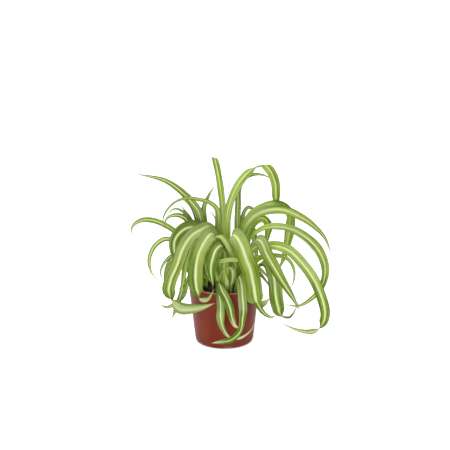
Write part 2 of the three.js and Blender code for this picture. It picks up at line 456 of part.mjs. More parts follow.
// A leaf blade as one closed solid. Its spine runs up from the crown and through the points.
// A frame is carried along the spine without spinning, the roll is added, and each station
// gets a shallow V of six corners.
function makeLeaf([, crown, tier, turn, width, taper, roll, points]) {
  const [cx, cy] = CROWNS[crown];
  const ring = FIRST_TIER + TIER_STEP * tier;
  const out = new THREE.Vector3(Math.cos(radians(turn)), Math.sin(radians(turn)), 0);
  const foot = new THREE.Vector3(cx, cy, 0).addScaledVector(out, ring);
  foot.z = crownTop(ring) + GAP;
  const collar = foot.clone().addScaledVector(out, SHEATH_LEAN * (ring / CROWN_RADIUS));
  collar.z += SHEATH_RISE;
  const route = [foot, collar, ...points.map((p) => new THREE.Vector3(...p))];
  const spine = new THREE.CatmullRomCurve3(route, false, 'centripetal');

  // fine samples, their length from the foot, and a measure that also counts bending and twist
  const fine = Array.from({ length: CURVE_SAMPLES + 1 }, (_, i) => spine.getPoint(i / CURVE_SAMPLES));
  const tangents = fine.map((_, i) => {
    const before = fine[Math.max(i - 1, 0)];
    const after = fine[Math.min(i + 1, CURVE_SAMPLES)];
    return after.clone().sub(before).normalize();
  });
  const length = [0];
  for (let i = 1; i <= CURVE_SAMPLES; i++) length.push(length[i - 1] + fine[i].distanceTo(fine[i - 1]));
  const shares = length.map((along) => along / length[CURVE_SAMPLES]);
  const twists = shares.map((share) => radians(twistAt(share, roll)));
  const measure = [0];
  for (let i = 1; i <= CURVE_SAMPLES; i++) {
    const bend = tangents[i].angleTo(tangents[i - 1]) + Math.abs(twists[i] - twists[i - 1]);
    measure.push(measure[i - 1] + length[i] - length[i - 1] + BEND_WEIGHT * bend);
  }

  // upper side of the blade at each sample, first facing the crown's axis
  const uppers = [out.clone().negate()];
  uppers[0].addScaledVector(tangents[0], -uppers[0].dot(tangents[0])).normalize();
  for (let i = 1; i <= CURVE_SAMPLES; i++) {
    const next = uppers[i - 1].clone();
    next.addScaledVector(tangents[i], -next.dot(tangents[i])).normalize();
    uppers.push(next);
  }

  const total = measure[CURVE_SAMPLES];
  const rings = THREE.MathUtils.clamp(Math.round(total / RING_SPACING), RINGS_MIN, RINGS_MAX);
  const vertices = [];
  let sample = 0;
  for (let r = 0; r <= rings; r++) {
    while (sample < CURVE_SAMPLES && measure[sample] < (total * r) / rings - 1e-6) sample++;
    const share = shares[sample];
    const tangent = tangents[sample];
    const upper = uppers[sample].clone().applyAxisAngle(tangent, twists[sample]);
    const side = new THREE.Vector3().crossVectors(tangent, upper);
    const half = bladeWidth(share, width, taper) / 2;
    // the sheath wraps its ring, and the blade above it keeps a shallow keel
    const wrap = (half / ring / 2) * (1 - THREE.MathUtils.smoothstep(share, ...UNWRAPS));
    const fold = Math.max(wrap, radians(KEEL));
    const put = (across, lift) => vertices.push(
      fine[sample].clone().addScaledVector(side, across).addScaledVector(upper, lift),
    );
    const rise = half * Math.sin(fold);
    const reach = half * Math.cos(fold);
    put(-reach, rise + BLADE / 2);
    put(0, BLADE / 2);
    put(reach, rise + BLADE / 2);
    put(reach, rise - BLADE / 2);
    put(0, -BLADE / 2);
    put(-reach, rise - BLADE / 2);
  }

  // corners 0 1 2 are the upper face from one margin to the other, 5 4 3 the lower face
  const faces = [];
  const quad = (a, b, c, d) => faces.push(a, b, c, a, c, d);
  for (let r = 0; r < rings; r++) {
    const p = r * CORNERS;
    const q = p + CORNERS;
    quad(p + 0, p + 1, q + 1, q + 0);
    quad(p + 1, p + 2, q + 2, q + 1);
    quad(p + 2, p + 3, q + 3, q + 2);
    faces.push(p + 4, q + 3, p + 3, p + 4, q + 4, q + 3);
    faces.push(p + 5, q + 4, p + 4, p + 5, q + 5, q + 4);
    quad(p + 5, p + 0, q + 0, q + 5);
  }
  const last = rings * CORNERS;
  faces.push(0, 5, 4, 0, 4, 1, 1, 4, 3, 1, 3, 2);
  faces.push(last, last + 4, last + 5, last, last + 1, last + 4);
  faces.push(last + 1, last + 3, last + 4, last + 1, last + 2, last + 3);

  const geometry = new THREE.BufferGeometry();
  const numbers = vertices.flatMap((v) => v.toArray());
  geometry.setAttribute('position', new THREE.Float32BufferAttribute(numbers, 3));
  geometry.setIndex(faces);
  return geometry;
}

const plant = new THREE.Group();

function piece(name, geometry, material) {
  const mesh = new THREE.Mesh(geometry, material);
  mesh.name = name;
  plant.add(mesh);
}

piece('pot', makePot(), MATERIALS.pot);
piece('soil', makeSoil(), MATERIALS.soil);
for (const [name, place] of Object.entries(CROWNS)) {
  piece(`crown_${name}`, makeCrown(place), MATERIALS.crown);
}
for (const leaf of LEAVES) {
  piece(`leaf_${leaf[0]}`, makeLeaf(leaf), MATERIALS.leaf);
}

export default plant;
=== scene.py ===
# %% [markdown]
# # A curly spider plant in its nursery pot
#
# The plant is three young rosettes in one thin plastic pot. Its leaves are long, soft blades,
# green with a cream midstripe, that rise from the soil, arch over and curl back under
# themselves. The plain solids of the model already hold every size and place. This lesson
# gives each of them a fine surface and a finish, piece by piece, and leaves the solids where
# they are.
#
# Everything is in metres, +Z is up and the front of the plant faces -Y.

import bpy
import numpy as np
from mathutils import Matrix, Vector


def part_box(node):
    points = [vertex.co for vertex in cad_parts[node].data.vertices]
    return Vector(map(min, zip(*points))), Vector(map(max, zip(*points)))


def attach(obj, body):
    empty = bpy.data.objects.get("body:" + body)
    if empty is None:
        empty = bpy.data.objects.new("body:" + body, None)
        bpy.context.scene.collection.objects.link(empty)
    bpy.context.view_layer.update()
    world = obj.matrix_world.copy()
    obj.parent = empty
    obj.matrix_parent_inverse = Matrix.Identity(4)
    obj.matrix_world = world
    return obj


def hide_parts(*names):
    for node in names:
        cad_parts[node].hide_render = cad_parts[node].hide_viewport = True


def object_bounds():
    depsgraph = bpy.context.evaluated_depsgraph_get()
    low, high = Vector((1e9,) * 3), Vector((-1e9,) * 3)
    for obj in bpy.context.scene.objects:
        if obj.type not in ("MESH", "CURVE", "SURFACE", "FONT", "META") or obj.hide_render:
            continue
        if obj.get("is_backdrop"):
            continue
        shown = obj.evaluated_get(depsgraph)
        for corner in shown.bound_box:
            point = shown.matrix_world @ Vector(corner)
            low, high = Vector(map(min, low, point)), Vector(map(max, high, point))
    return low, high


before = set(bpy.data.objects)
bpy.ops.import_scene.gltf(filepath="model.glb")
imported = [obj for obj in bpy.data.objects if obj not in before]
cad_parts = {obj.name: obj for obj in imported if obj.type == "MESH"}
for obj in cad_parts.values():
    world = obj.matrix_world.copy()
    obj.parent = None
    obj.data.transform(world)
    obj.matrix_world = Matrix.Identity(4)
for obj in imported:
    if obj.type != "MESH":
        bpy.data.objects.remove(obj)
cad_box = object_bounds()
MM = 0.001
print("solids:", len(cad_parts))
print("box in mm:", [[round(v / MM) for v in corner] for corner in cad_box])

# %% [markdown]
# ## The camera
#
# The photograph was taken with a long lens from a little above the plant, so the leaves in
# front are hardly larger than those behind. A camera like that is placed far away and given a
# long focal length. Its height above the pot's foot follows from how round the ellipses of
# the rim and the base look: they are as flat as a circle seen from 18 degrees above.

# %% Camera
CAMERA_PLACE = (0.0012, -2.350, 0.9637)
CAMERA_DOWN = 18.1  # degrees below the horizon
LENS = 123.2  # millimetres
SENSOR = 36.0  # millimetres wide

lens = bpy.data.cameras.new("camera")
lens.lens = LENS
lens.sensor_width = SENSOR
camera = bpy.data.objects.new("camera", lens)
camera.location = CAMERA_PLACE
camera.rotation_euler = (np.radians(90 - CAMERA_DOWN), 0, 0)
bpy.context.collection.objects.link(camera)
bpy.context.scene.camera = camera
bpy.context.scene.view_settings.view_transform = "Standard"
print("camera", round(float(np.linalg.norm(CAMERA_PLACE)), 2), "m away")

# %% [markdown]
# ## Small helpers
#
# Most shapes below are grids of points. A grid becomes a mesh fastest when whole arrays are
# handed over with foreach_set, and every mesh here is made of four-sided faces, so one helper
# is enough. A second one starts a material and returns a function that adds nodes to it, so
# that a finish reads from top to bottom. Colours are written as the eye sees them, and turned
# into the linear values that shaders use.

# %% Helpers for meshes
def smoothstep(x, low, high):
    """0 below low, 1 above high, and between them 3t squared minus 2t cubed."""
    t = np.clip((x - low) / (high - low), 0, 1)
    return t * t * (3 - 2 * t)


def waves(rng, x, y, longest, octaves=4, each=7):
    """Smooth random bumps between about -1 and 1 at the places x, y: a sum of sine waves in
    random directions. Each octave has half the wavelength and half the height of the last."""
    total = np.zeros(np.broadcast(x, y).shape)
    for octave in range(octaves):
        turn = rng.uniform(0, 2 * np.pi, each)
        phase = rng.uniform(0, 2 * np.pi, each)
        length = longest / 2**octave * rng.uniform(0.8, 1.3, each)
        along = x[..., None] * np.cos(turn) + y[..., None] * np.sin(turn)
        total += 0.5**octave * np.sin(2 * np.pi * along / length + phase).sum(-1) / each**0.5
    return total / 1.6


def quad_mesh(name, points, quads):
    """A smooth-shaded object at the origin, from an array of points and one of four-sided faces."""
    mesh = bpy.data.meshes.new(name)
    mesh.vertices.add(len(points))
    mesh.vertices.foreach_set("co", np.ascontiguousarray(points, np.float32).ravel())
    mesh.loops.add(quads.size)
    mesh.loops.foreach_set("vertex_index", np.ascontiguousarray(quads, np.int32).ravel())
    mesh.polygons.add(len(quads))
    mesh.polygons.foreach_set("loop_start", np.arange(0, quads.size, 4, dtype=np.int32))
    mesh.update(calc_edges=True)
    mesh.shade_smooth()
    thing = bpy.data.objects.new(name, mesh)
    bpy.context.collection.objects.link(thing)
    return thing


def note(thing, name, values):
    """Stores a number, or three, for each point of a piece, under a name that materials read."""
    values = np.asarray(values, np.float32)
    kind, field = ("FLOAT", "value") if values.ndim == 1 else ("FLOAT_VECTOR", "vector")
    attribute = thing.data.attributes.new(name, kind, "POINT")
    attribute.data.foreach_set(field, values.ravel())


def dress(thing, node, material):
    """Lets a piece stand for a solid: it rides with the root, replaces the node, has a finish."""
    thing.data.materials.append(material)
    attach(thing, "root")
    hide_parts(node)


# %% Helpers for materials
def linear(red, green, blue):
    """A colour given as the 0 to 255 that a screen shows, as the linear values of a shader."""
    shown = np.array([red, green, blue]) / 255
    low, high = shown / 12.92, ((shown + 0.055) / 1.055) ** 2.4
    return (*np.where(shown <= 0.04045, low, high).tolist(), 1.0)


def start_material(name):
    """A new material and its add function. add makes a node; inputs are values or other
    nodes' outputs, by position or by name, and the rest are the node's own settings."""
    made = bpy.data.materials.new(name)
    made.use_nodes = True
    tree = made.node_tree
    tree.nodes.clear()

    def add(kind, inputs=(), **settings):
        node = tree.nodes.new("ShaderNode" + kind)
        for key, value in settings.items():
            setattr(node, key, value)
        pairs = inputs.items() if isinstance(inputs, dict) else enumerate(inputs)
        for key, value in pairs:
            if isinstance(value, bpy.types.NodeSocket):
                tree.links.new(value, node.inputs[key])
            elif value is not None:
                node.inputs[key].default_value = value
        return node

    return made, add


def maths(add, operation, *values):
    """One sum of numbers, by the name of its operation."""
    return add("Math", values, operation=operation).outputs[0]


def ease(add, value, low, high, start=0.0, end=1.0):
    """A number that goes smoothly from start to end while value goes from low to high."""
    return add("MapRange", [value, low, high, start, end], interpolation_type="SMOOTHSTEP").outputs[0]


def mixed(add, factor, first, second):
    """The first colour at factor 0, the second at 1. The Mix node has sockets for numbers and
    vectors too, and those of the colours are its inputs 6 and 7 and its output 2."""
    sockets = {0: factor, 6: first, 7: second}
    return add("Mix", sockets, data_type="RGBA").outputs[2]


def noise(add, place, scale, detail):
    """Soft random values round 0.5. The scale says about how many lumps there are to one unit
    of the place, and the detail how many times lumps half as large are laid on them."""
    return add("TexNoise", {"Vector": place, "Scale": scale, "Detail": detail}).outputs[0]


def stored(add, name, output="Fac"):
    """What note() stored under a name: one number, or with Vector three of them."""
    return add("Attribute", attribute_name=name).outputs[output]


def coated(add, colour, rough, gloss, normal=None, **more):
    """The output of a Principled shader with a colour, a roughness, a strength of gloss, a
    bumpy normal where one is given, and any more of its sockets by name."""
    sockets = {"Base Color": colour, "Roughness": rough, "Normal": normal}
    sockets["Specular IOR Level"] = gloss
    return add("BsdfPrincipled", sockets | more).outputs[0]


# %% [markdown]
# ## Floor and light
#
# The plant stands on plain white with hardly a shadow. A wide, very pale floor that glows a
# little and a white sky do that; the floor's glow is painted light, since the floor is no lamp.
# The floor has one colour throughout, and only its glow stops under the pot, which paints shade
# into the grooves of the pot's foot. A soft light above, a little to the left and behind, gives
# the arches their bright tops, and a stronger one low in front opens the pot and the leaves
# that face the camera. Soft lights are large ones: the size of a light, not its strength, makes
# an edge of shadow soft.

# %% Floor and light
FLOOR_REACH = 30.0  # metres to each side, so far that its edge is never seen
FLOOR_GLOW = 0.7
# inside this reach the floor has no glow: painted shade in the grooves of the pot's foot
PAINTED_SHADE_REACH = 45.5 * MM  # from the pot's axis
GLOW_FULL = 47 * MM
SKY_STRENGTH = 0.5
WHITE = (1, 1, 1, 1)


def make_floor():
    """A flat, plain pale square at the height of the pot's foot."""
    corners = np.array([[-1, -1, 0], [1, -1, 0], [1, 1, 0], [-1, 1, 0]]) * FLOOR_REACH
    floor = quad_mesh("floor", corners, np.array([[0, 1, 2, 3]]))
    white, add = start_material("floor_white")
    place = add("TexCoord").outputs["Object"]
    from_pot = add("VectorMath", [place], operation="LENGTH").outputs["Value"]
    # the glow is painted light, and where it stops under the pot it is painted shade
    glow = ease(add, from_pot, PAINTED_SHADE_REACH, GLOW_FULL, 0.0, FLOOR_GLOW)
    shining = {"Emission Color": WHITE, "Emission Strength": glow}
    add("OutputMaterial", [coated(add, linear(232, 232, 232), rough=0.9, gloss=0.1, **shining)])
    floor.data.materials.append(white)
    floor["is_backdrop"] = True


def make_light(name, place, aim, size, power):
    """A square soft light at a place, turned to shine at the point aim. Its size is in metres
    and its power in watts."""
    lamp = bpy.data.lights.new(name, "AREA")
    lamp.size = size
    lamp.energy = power
    thing = bpy.data.objects.new(name, lamp)
    thing.location = place
    towards = Vector(aim) - Vector(place)
    thing.rotation_euler = towards.to_track_quat("-Z", "Y").to_euler()
    bpy.context.collection.objects.link(thing)


make_floor()
make_light("overhead", place=(-0.3, 0.1, 1.5), aim=(0, 0, 0.15), size=0.7, power=12)
make_light("front_fill", place=(-0.3, -1.7, 0.5), aim=(0, 0, 0.12), size=0.6, power=17)

sky = bpy.data.worlds.new("sky")
sky.use_nodes = True
background = sky.node_tree.nodes["Background"]
background.inputs["Color"].default_value = WHITE
background.inputs["Strength"].default_value = SKY_STRENGTH
bpy.context.scene.world = sky
print("floor, lights and sky made")

# %% [markdown]
# ## The pot
#
# A nursery pot is one sheet of plastic, drawn over a mould. Its whole surface is a single
# outline turned round the axis: out along the base, round the corner, up the wall, over the
# rolled rim and back down the inside. Six grooves are pressed up into the base, so that
# water can run off, and each has a drain hole in its roof. On the turned surface a groove is
# no cut at all: every point that lies lower than the groove's round roof is lifted to it.
# The holes are real ones, cut by a Boolean.

# %% Pot sizes
pot_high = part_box("pot")[1]
POT_HEIGHT = pot_high.z
RIM_RADIUS = pot_high.x
RIM_LIP = 1.6 * MM  # how far the rim stands out from the wall
RIM_DEPTH = 3 * MM
LIP_RISE = 0.4 * MM  # how much higher the lip's underside is at its outer end
LIP_UNDER = 0.9 * MM  # radius of the rim's lower outer edge
LIP_OVER = 1.1 * MM  # radius of its upper outer edge
RIM_INSIDE = 0.8 * MM  # radius of its upper inner edge
WALL_TOP = RIM_RADIUS - RIM_LIP
WALL_BASE = 47.5 * MM
CORNER = 5 * MM  # radius at the foot of the wall
WALL = 1.3 * MM
GROOVES = 6
GROOVE_TURN = np.radians(7 - 90)  # the first one lies a little right of the front
GROOVE_WIDTH = 18 * MM
GROOVE_HEIGHT = 4.2 * MM
GROOVE_START = 24 * MM
DRAIN_RADIUS = 3.5 * MM
DRAIN_REACH = 38 * MM
GAP = 0.3 * MM  # that the solids leave between two pieces
POT_SIDES = 480
MIDDLE = 0.3 * MM  # radius where a turned surface stops, to be folded shut
NARROW_MIDDLE = 0.2 * MM  # the same on a narrow piece
print("pot", round(POT_HEIGHT / MM), "mm high,", round(2 * RIM_RADIUS / MM), "mm across its rim")


# %% Pot surface
def outline(corners, spacing):
    """Points along straight stretches between the given corners, about evenly spaced."""
    corners = np.array(corners)
    steps = np.linalg.norm(np.diff(corners, axis=0), axis=1)
    along = np.concatenate([[0], np.cumsum(steps)])
    places = np.unique(np.concatenate([along, np.arange(0, along[-1], spacing)]))
    return np.stack([np.interp(places, along, corners[:, k]) for k in range(2)], 1)


def bend(centre, radius, start, end, steps):
    """Corners on a round bend, [radius, height], between two directions in degrees."""
    turn = np.radians(np.linspace(start, end, steps))
    return [[centre[0] + radius * np.cos(t), centre[1] + radius * np.sin(t)] for t in turn]


def groove_roof(x, y, grow):
    """Height of the grooves over the places x, y, and 0 between them. Turned to the nearest
    groove, a place is so far along it and so far to its side. The roof is half an ellipse
    across, and grow is the plastic that lies on it."""
    turn = np.arctan2(y, x) - GROOVE_TURN
    spread = 2 * np.pi / GROOVES
    turn = (turn + spread / 2) % spread - spread / 2
    reach = np.hypot(x, y)
    half = GROOVE_WIDTH / 2 + grow
    aside = np.clip(np.abs(reach * np.sin(turn)) / half, 0, 1)
    roof = (GROOVE_HEIGHT + grow) * np.sqrt(1 - aside**2)
    return np.where(reach * np.cos(turn) > GROOVE_START - grow, roof, 0)


def turned(profile, sides):
    """A profile of radius and height carried round the Z axis, one row for each point of it."""
    turn = np.linspace(0, 2 * np.pi, sides, endpoint=False)
    x = profile[:, :1] * np.cos(turn)
    y = profile[:, :1] * np.sin(turn)
    z = np.broadcast_to(profile[:, 1:], x.shape)
    return np.stack([x, y, z], -1)


def tube_quads(rows, sides):
    """Faces between neighbouring rows of points that each run once round."""
    row, side = np.meshgrid(np.arange(rows - 1), np.arange(sides), indexing="ij")
    here = row * sides + side
    beside = row * sides + (side + 1) % sides
    return np.stack([here, beside, beside + sides, here + sides], -1).reshape(-1, 4)


def ring_quads(rows, sides):
    """Faces of a turned surface, and across its two open middles, which are closed by folding
    the first and the last row flat."""
    fold = np.arange(sides // 2 - 1)
    cap = np.stack([fold, (sides - fold) % sides, sides - fold - 1, fold + 1], -1)
    last = cap[:, ::-1] + (rows - 1) * sides
    return np.concatenate([tube_quads(rows, sides), cap, last])


def wall_at(height):
    """Outside radius of the wall, which leans out evenly from foot to rim."""
    return WALL_BASE + (WALL_TOP - WALL_BASE) * height / POT_HEIGHT


def make_pot():
    """The outside outline with the grooves' roofs, then the inside one with the roofs grown by
    the wall, carried round in steps of 0.75 degrees."""
    lip = RIM_DEPTH - LIP_RISE  # from the top down to the lip's outer end
    corner = (WALL_BASE - CORNER, CORNER)
    inner_edge = (WALL_TOP - WALL + RIM_INSIDE, POT_HEIGHT - RIM_INSIDE)
    outside = [[MIDDLE, 0]]
    outside += bend(corner, CORNER, start=-90, end=0, steps=14)
    outside += [[wall_at(POT_HEIGHT - RIM_DEPTH), POT_HEIGHT - RIM_DEPTH]]
    under = (RIM_RADIUS - LIP_UNDER, POT_HEIGHT - lip + LIP_UNDER)
    outside += bend(under, LIP_UNDER, start=-80, end=0, steps=6)
    outside += bend((RIM_RADIUS - LIP_OVER, POT_HEIGHT - LIP_OVER), LIP_OVER, start=0, end=90, steps=7)
    inside = bend(inner_edge, RIM_INSIDE, start=90, end=180, steps=5)
    inside += bend(corner, CORNER - WALL, start=0, end=-90, steps=8)
    inside += [[MIDDLE, WALL]]
    outer = turned(outline(outside, spacing=1.6 * MM), POT_SIDES)
    inner = turned(outline(inside, spacing=3.5 * MM), POT_SIDES)
    for surface, plastic in ((outer, 0), (inner, WALL)):
        roof = groove_roof(surface[..., 0], surface[..., 1], plastic)
        surface[..., 2] = np.maximum(surface[..., 2], roof)
    grid = np.concatenate([outer, inner])
    return quad_mesh("pot_shell", grid.reshape(-1, 3), ring_quads(len(grid), POT_SIDES))


def cut_drains(pot):
    """Cuts a round hole through each groove's roof: one mesh of upright rods is the cutter."""
    low, high, sides = -5 * MM, 9 * MM, 32
    profile = [[NARROW_MIDDLE, low], [DRAIN_RADIUS, low], [DRAIN_RADIUS, high], [NARROW_MIDDLE, high]]
    one = turned(np.array(profile), sides)
    quads = ring_quads(len(profile), sides)
    turns = GROOVE_TURN + np.arange(GROOVES) * 2 * np.pi / GROOVES
    places = np.stack([np.cos(turns), np.sin(turns), 0 * turns], 1) * DRAIN_REACH
    points = one.reshape(1, -1, 3) + places[:, None]
    faces = quads[None] + np.arange(GROOVES)[:, None, None] * one[..., 0].size
    cutter = quad_mesh("drain_cutter", points.reshape(-1, 3), faces.reshape(-1, 4))
    cut = pot.modifiers.new("drains", "BOOLEAN")
    cut.object = cutter
    cut.operation = "DIFFERENCE"
    bpy.context.view_layer.update()
    whole = pot.evaluated_get(bpy.context.evaluated_depsgraph_get())
    pot.data = bpy.data.meshes.new_from_object(whole)
    pot.modifiers.clear()
    bpy.data.objects.remove(cutter)


pot = make_pot()
cut_drains(pot)
print("pot faces:", len(pot.data.polygons))

# %% [markdown]
# ## The pot's plastic
#
# Thin moulded plastic is smooth but never even. It has a satin skin with fine grain from the
# mould, faint upright streaks where it was drawn down, and soft clouds of lighter and darker
# red. Old splashes of soil leave a dull film that is strongest near the foot. The top of the
# rim is painted pale: a painted highlight where light catches the lip, with some wear. Streaks
# run up the wall if a noise pattern is read with its height pressed together: the same noise
# then changes fast round the pot and slowly up it.

# %% Pot material
RED_DARK, RED_LIGHT = linear(96, 30, 7), linear(117, 38, 12)
RED_STREAK = linear(84, 27, 12)
OLD_SPLASH = linear(106, 56, 34)
# the pale top of the rim: a painted highlight, with some wear
RIM_HIGHLIGHT_AND_WEAR = linear(190, 142, 130)
FILM_TOP = 45 * MM  # the dull film ends at this height
HIGHLIGHT_AND_WEAR_DEPTH = 1.8 * MM  # under the top of the rim


def make_plastic():
    """Terracotta-red plastic: clouds and streaks in the colour, film and grain in the gloss."""
    plastic, add = start_material("pot_plastic")
    place = add("TexCoord").outputs["Object"]
    height = add("SeparateXYZ", [place]).outputs[2]
    pressed = add("Mapping", {"Vector": place, "Scale": (1, 1, 0.05)}).outputs[0]
    clouds = noise(add, place, scale=22, detail=3)
    streaks = noise(add, pressed, scale=260, detail=2)
    grain = noise(add, place, scale=2600, detail=1)
    red = mixed(add, ease(add, clouds, 0.3, 0.7), RED_DARK, RED_LIGHT)
    red = mixed(add, ease(add, streaks, 0.35, 0.8, 0, 0.35), red, RED_STREAK)
    low = ease(add, height, 0.0, FILM_TOP, 0.5, 0.0)
    film = maths(add, "MULTIPLY", low, ease(add, clouds, 0.42, 0.62))
    red = mixed(add, film, red, OLD_SPLASH)
    # painted highlight with some wear: the top of the rim turns pale
    highlight_and_wear = ease(add, height, POT_HEIGHT - HIGHLIGHT_AND_WEAR_DEPTH, POT_HEIGHT - 0.2 * MM, 0.0, 0.8)
    red = mixed(add, highlight_and_wear, red, RIM_HIGHLIGHT_AND_WEAR)
    satin = ease(add, grain, 0.3, 0.7, 0.36, 0.46)
    rough = maths(add, "ADD", satin, maths(add, "MULTIPLY", film, 0.3))
    drawn = maths(add, "MULTIPLY", streaks, 0.5)
    relief = maths(add, "ADD", drawn, maths(add, "MULTIPLY", grain, 0.35))
    bump = add("Bump", {"Height": relief, "Strength": 0.5, "Distance": 0.12 * MM}).outputs[0]
    add("OutputMaterial", [coated(add, red, rough, gloss=0.14, normal=bump)])
    return plastic


dress(pot, "pot", make_plastic())
print("pot dressed")

# %% [markdown]
# ## The soil
#
# Potting peat is dark, damp and crumbly. A block with a bumpy top gives it its level, and
# sine waves added in many directions make the bumps. What the eye takes for soil are the
# crumbs on it: a few thousand small lumps of 24 faces each, strewn by a seeded random draw so
# that they fall the same way each time, sunk a little, and turned every way.

# %% Soil block
SOIL_LEVEL = 90 * MM
CROWNS = {"front": (1 * MM, -27 * MM), "left": (-24 * MM, 13 * MM), "right": (24 * MM, 14 * MM)}
CROWN_RADIUS = 22 * MM
CROWN_EDGE = 91 * MM
CROWN_RISE = 4 * MM
INNER_GAP = WALL + GAP  # from the wall's outside to the soil
SOIL_BUMPS = 1.5 * MM
SOIL_SIDES = 200
TOP_RINGS = 46


def ground(x, y):
    """Height of the soil at the places x, y: its level, with bumps of up to about 1.5 mm."""
    rng = np.random.default_rng(11)
    return SOIL_LEVEL + SOIL_BUMPS * waves(rng, x, y, longest=26 * MM, octaves=5)


def make_soil():
    """A profile from the middle of the top out to the wall, down it and back under to the
    middle, turned round, with the bumps on its top and the grooves' roofs under it."""
    edge = wall_at(SOIL_LEVEL) - INNER_GAP
    top = np.stack([np.linspace(MIDDLE, edge, TOP_RINGS), np.full(TOP_RINGS, SOIL_LEVEL)], 1)
    below = bend((WALL_BASE - CORNER, CORNER), CORNER - INNER_GAP, start=0, end=-90, steps=6)
    below += [[MIDDLE, INNER_GAP]]
    side = outline([[edge, SOIL_LEVEL]] + below, spacing=6 * MM)[1:]
    grid = turned(np.concatenate([top, side])[::-1], SOIL_SIDES)
    x, y, z = np.moveaxis(grid, -1, 0)
    on_top = z > SOIL_LEVEL - 1 * MM
    z = np.where(on_top, ground(x, y), z)
    z = np.where(on_top, z, np.maximum(z, groove_roof(x, y, INNER_GAP)))
    points = np.stack([x, y, z], -1)
    return quad_mesh("soil_block", points.reshape(-1, 3), ring_quads(len(grid), SOIL_SIDES))


soil = make_soil()
print("soil faces:", len(soil.data.polygons))


# %% Soil crumbs
CRUMBS = 3600
CRUMB_LEAST = 0.6  # millimetres from its middle out
CRUMB_MORE = 1.9  # millimetres that the largest one has on top of that
CRUMB_RISE = 0.15  # how far its middle lies above the ground, as a share of its size
CRUMB_MARGIN = 1.5 * MM  # how far from the soil's edge the crumbs stop
ROUGHNESS = 0.22  # how far its points are moved in or out, as a share of its size


def box_ball():
    """The 8 corners and 6 faces of a cube, the smallest closed lump of four-sided faces."""
    corners = np.array([[x, y, z] for x in (-1, 1) for y in (-1, 1) for z in (-1, 1)]) / 3**0.5
    faces = [[0, 1, 3, 2], [4, 6, 7, 5], [0, 4, 5, 1], [2, 3, 7, 6], [0, 2, 6, 4], [1, 5, 7, 3]]
    return corners, np.array(faces)


def split_once(points, quads):
    """Each face split into four by its middle and its edges' middles, then eased to a ball."""
    mid = points[quads].mean(1)
    side = (points[quads] + points[np.roll(quads, -1, 1)]) / 2
    fresh = np.concatenate([points[quads].reshape(-1, 3), side.reshape(-1, 3), mid])
    fresh /= np.linalg.norm(fresh, axis=1, keepdims=True)
    fresh, where = np.unique(np.round(fresh, 6), axis=0, return_inverse=True)
    where = where.reshape(-1)
    count = len(quads)
    corner = where[: 4 * count].reshape(count, 4)
    edge = where[4 * count : 8 * count].reshape(count, 4)
    middle = where[8 * count :]
    parts = [np.stack([corner[:, k], edge[:, k], middle, edge[:, k - 1]], 1) for k in range(4)]
    return fresh, np.concatenate(parts)


def random_turns(rng, count):
    """Random rotations as 3 by 3 arrays, from four random numbers each (unit quaternions)."""
    q = rng.normal(size=(count, 4))
    w, x, y, z = (q / np.linalg.norm(q, axis=1, keepdims=True)).T
    rows = [1 - 2 * (y * y + z * z), 2 * (x * y - w * z), 2 * (x * z + w * y)]
    rows += [2 * (x * y + w * z), 1 - 2 * (x * x + z * z), 2 * (y * z - w * x)]
    rows += [2 * (x * z - w * y), 2 * (y * z + w * x), 1 - 2 * (x * x + y * y)]
    return np.stack(rows, -1).reshape(count, 3, 3)


def strew(name, rng, places, sizes):
    """One mesh of lumps at the places. Each is a ball of 24 faces with its own length, width
    and height, roughened point by point and turned at random."""
    ball, quads = split_once(*box_ball())
    count = len(places)
    stretch = sizes[:, None] * rng.uniform([0.6, 0.5, 0.4], [1.3, 1.0, 0.8], (count, 3))
    lumps = ball[None] * (1 + rng.uniform(-ROUGHNESS, ROUGHNESS, (count, len(ball), 1)))
    lumps = np.einsum("cij,cpj->cpi", random_turns(rng, count), lumps * stretch[:, None])
    faces = quads[None] + np.arange(count)[:, None, None] * len(ball)
    thing = quad_mesh(name, (lumps + places[:, None]).reshape(-1, 3), faces.reshape(-1, 4))
    note(thing, "shade", np.repeat(rng.uniform(0, 1, count), len(ball)))
    return thing


def crown_height(x, y):
    """Height of the crowns' low domes at the places x, y, and far below everything outside
    them. Each rises evenly from its edge to its middle."""
    top = np.full(np.shape(x), -1.0)
    for cx, cy in CROWNS.values():
        reach = np.hypot(x - cx, y - cy) / CROWN_RADIUS
        top = np.where(reach < 1, CROWN_EDGE + CROWN_RISE * (1 - reach), top)
    return top


def make_crumbs(count):
    """Crumbs over the soil and the crowns, most of them fine and a few about 5 mm across."""
    rng = np.random.default_rng(23)
    widest = wall_at(SOIL_LEVEL) - INNER_GAP - CRUMB_MARGIN
    reach = widest * np.sqrt(rng.uniform(0, 1, count))
    turn = rng.uniform(0, 2 * np.pi, count)
    x, y = reach * np.cos(turn), reach * np.sin(turn)
    sizes = MM * (CRUMB_LEAST + CRUMB_MORE * rng.uniform(0, 1, count) ** 4)
    z = np.maximum(ground(x, y), crown_height(x, y)) + CRUMB_RISE * sizes
    return strew("soil_crumbs", rng, np.stack([x, y, z], 1), sizes)


crumbs = make_crumbs(CRUMBS)
print("crumbs:", CRUMBS, "with faces:", len(crumbs.data.polygons))

# %% [markdown]
# ## The soil's finish
#
# Damp peat swallows light: nearly black brown, with no gloss except for a wet glint here and
# there. Two noises, a coarse one and a fine one, mix the browns and roughen the surface. The
# crumbs carry a random number each, which makes some of them lighter, like bits of bark.

# %% Soil materials
PEAT_DARK, PEAT_LIGHT = linear(34, 25, 21), linear(66, 49, 38)
PEAT_WET = linear(20, 15, 13)
BARK = linear(122, 92, 64)


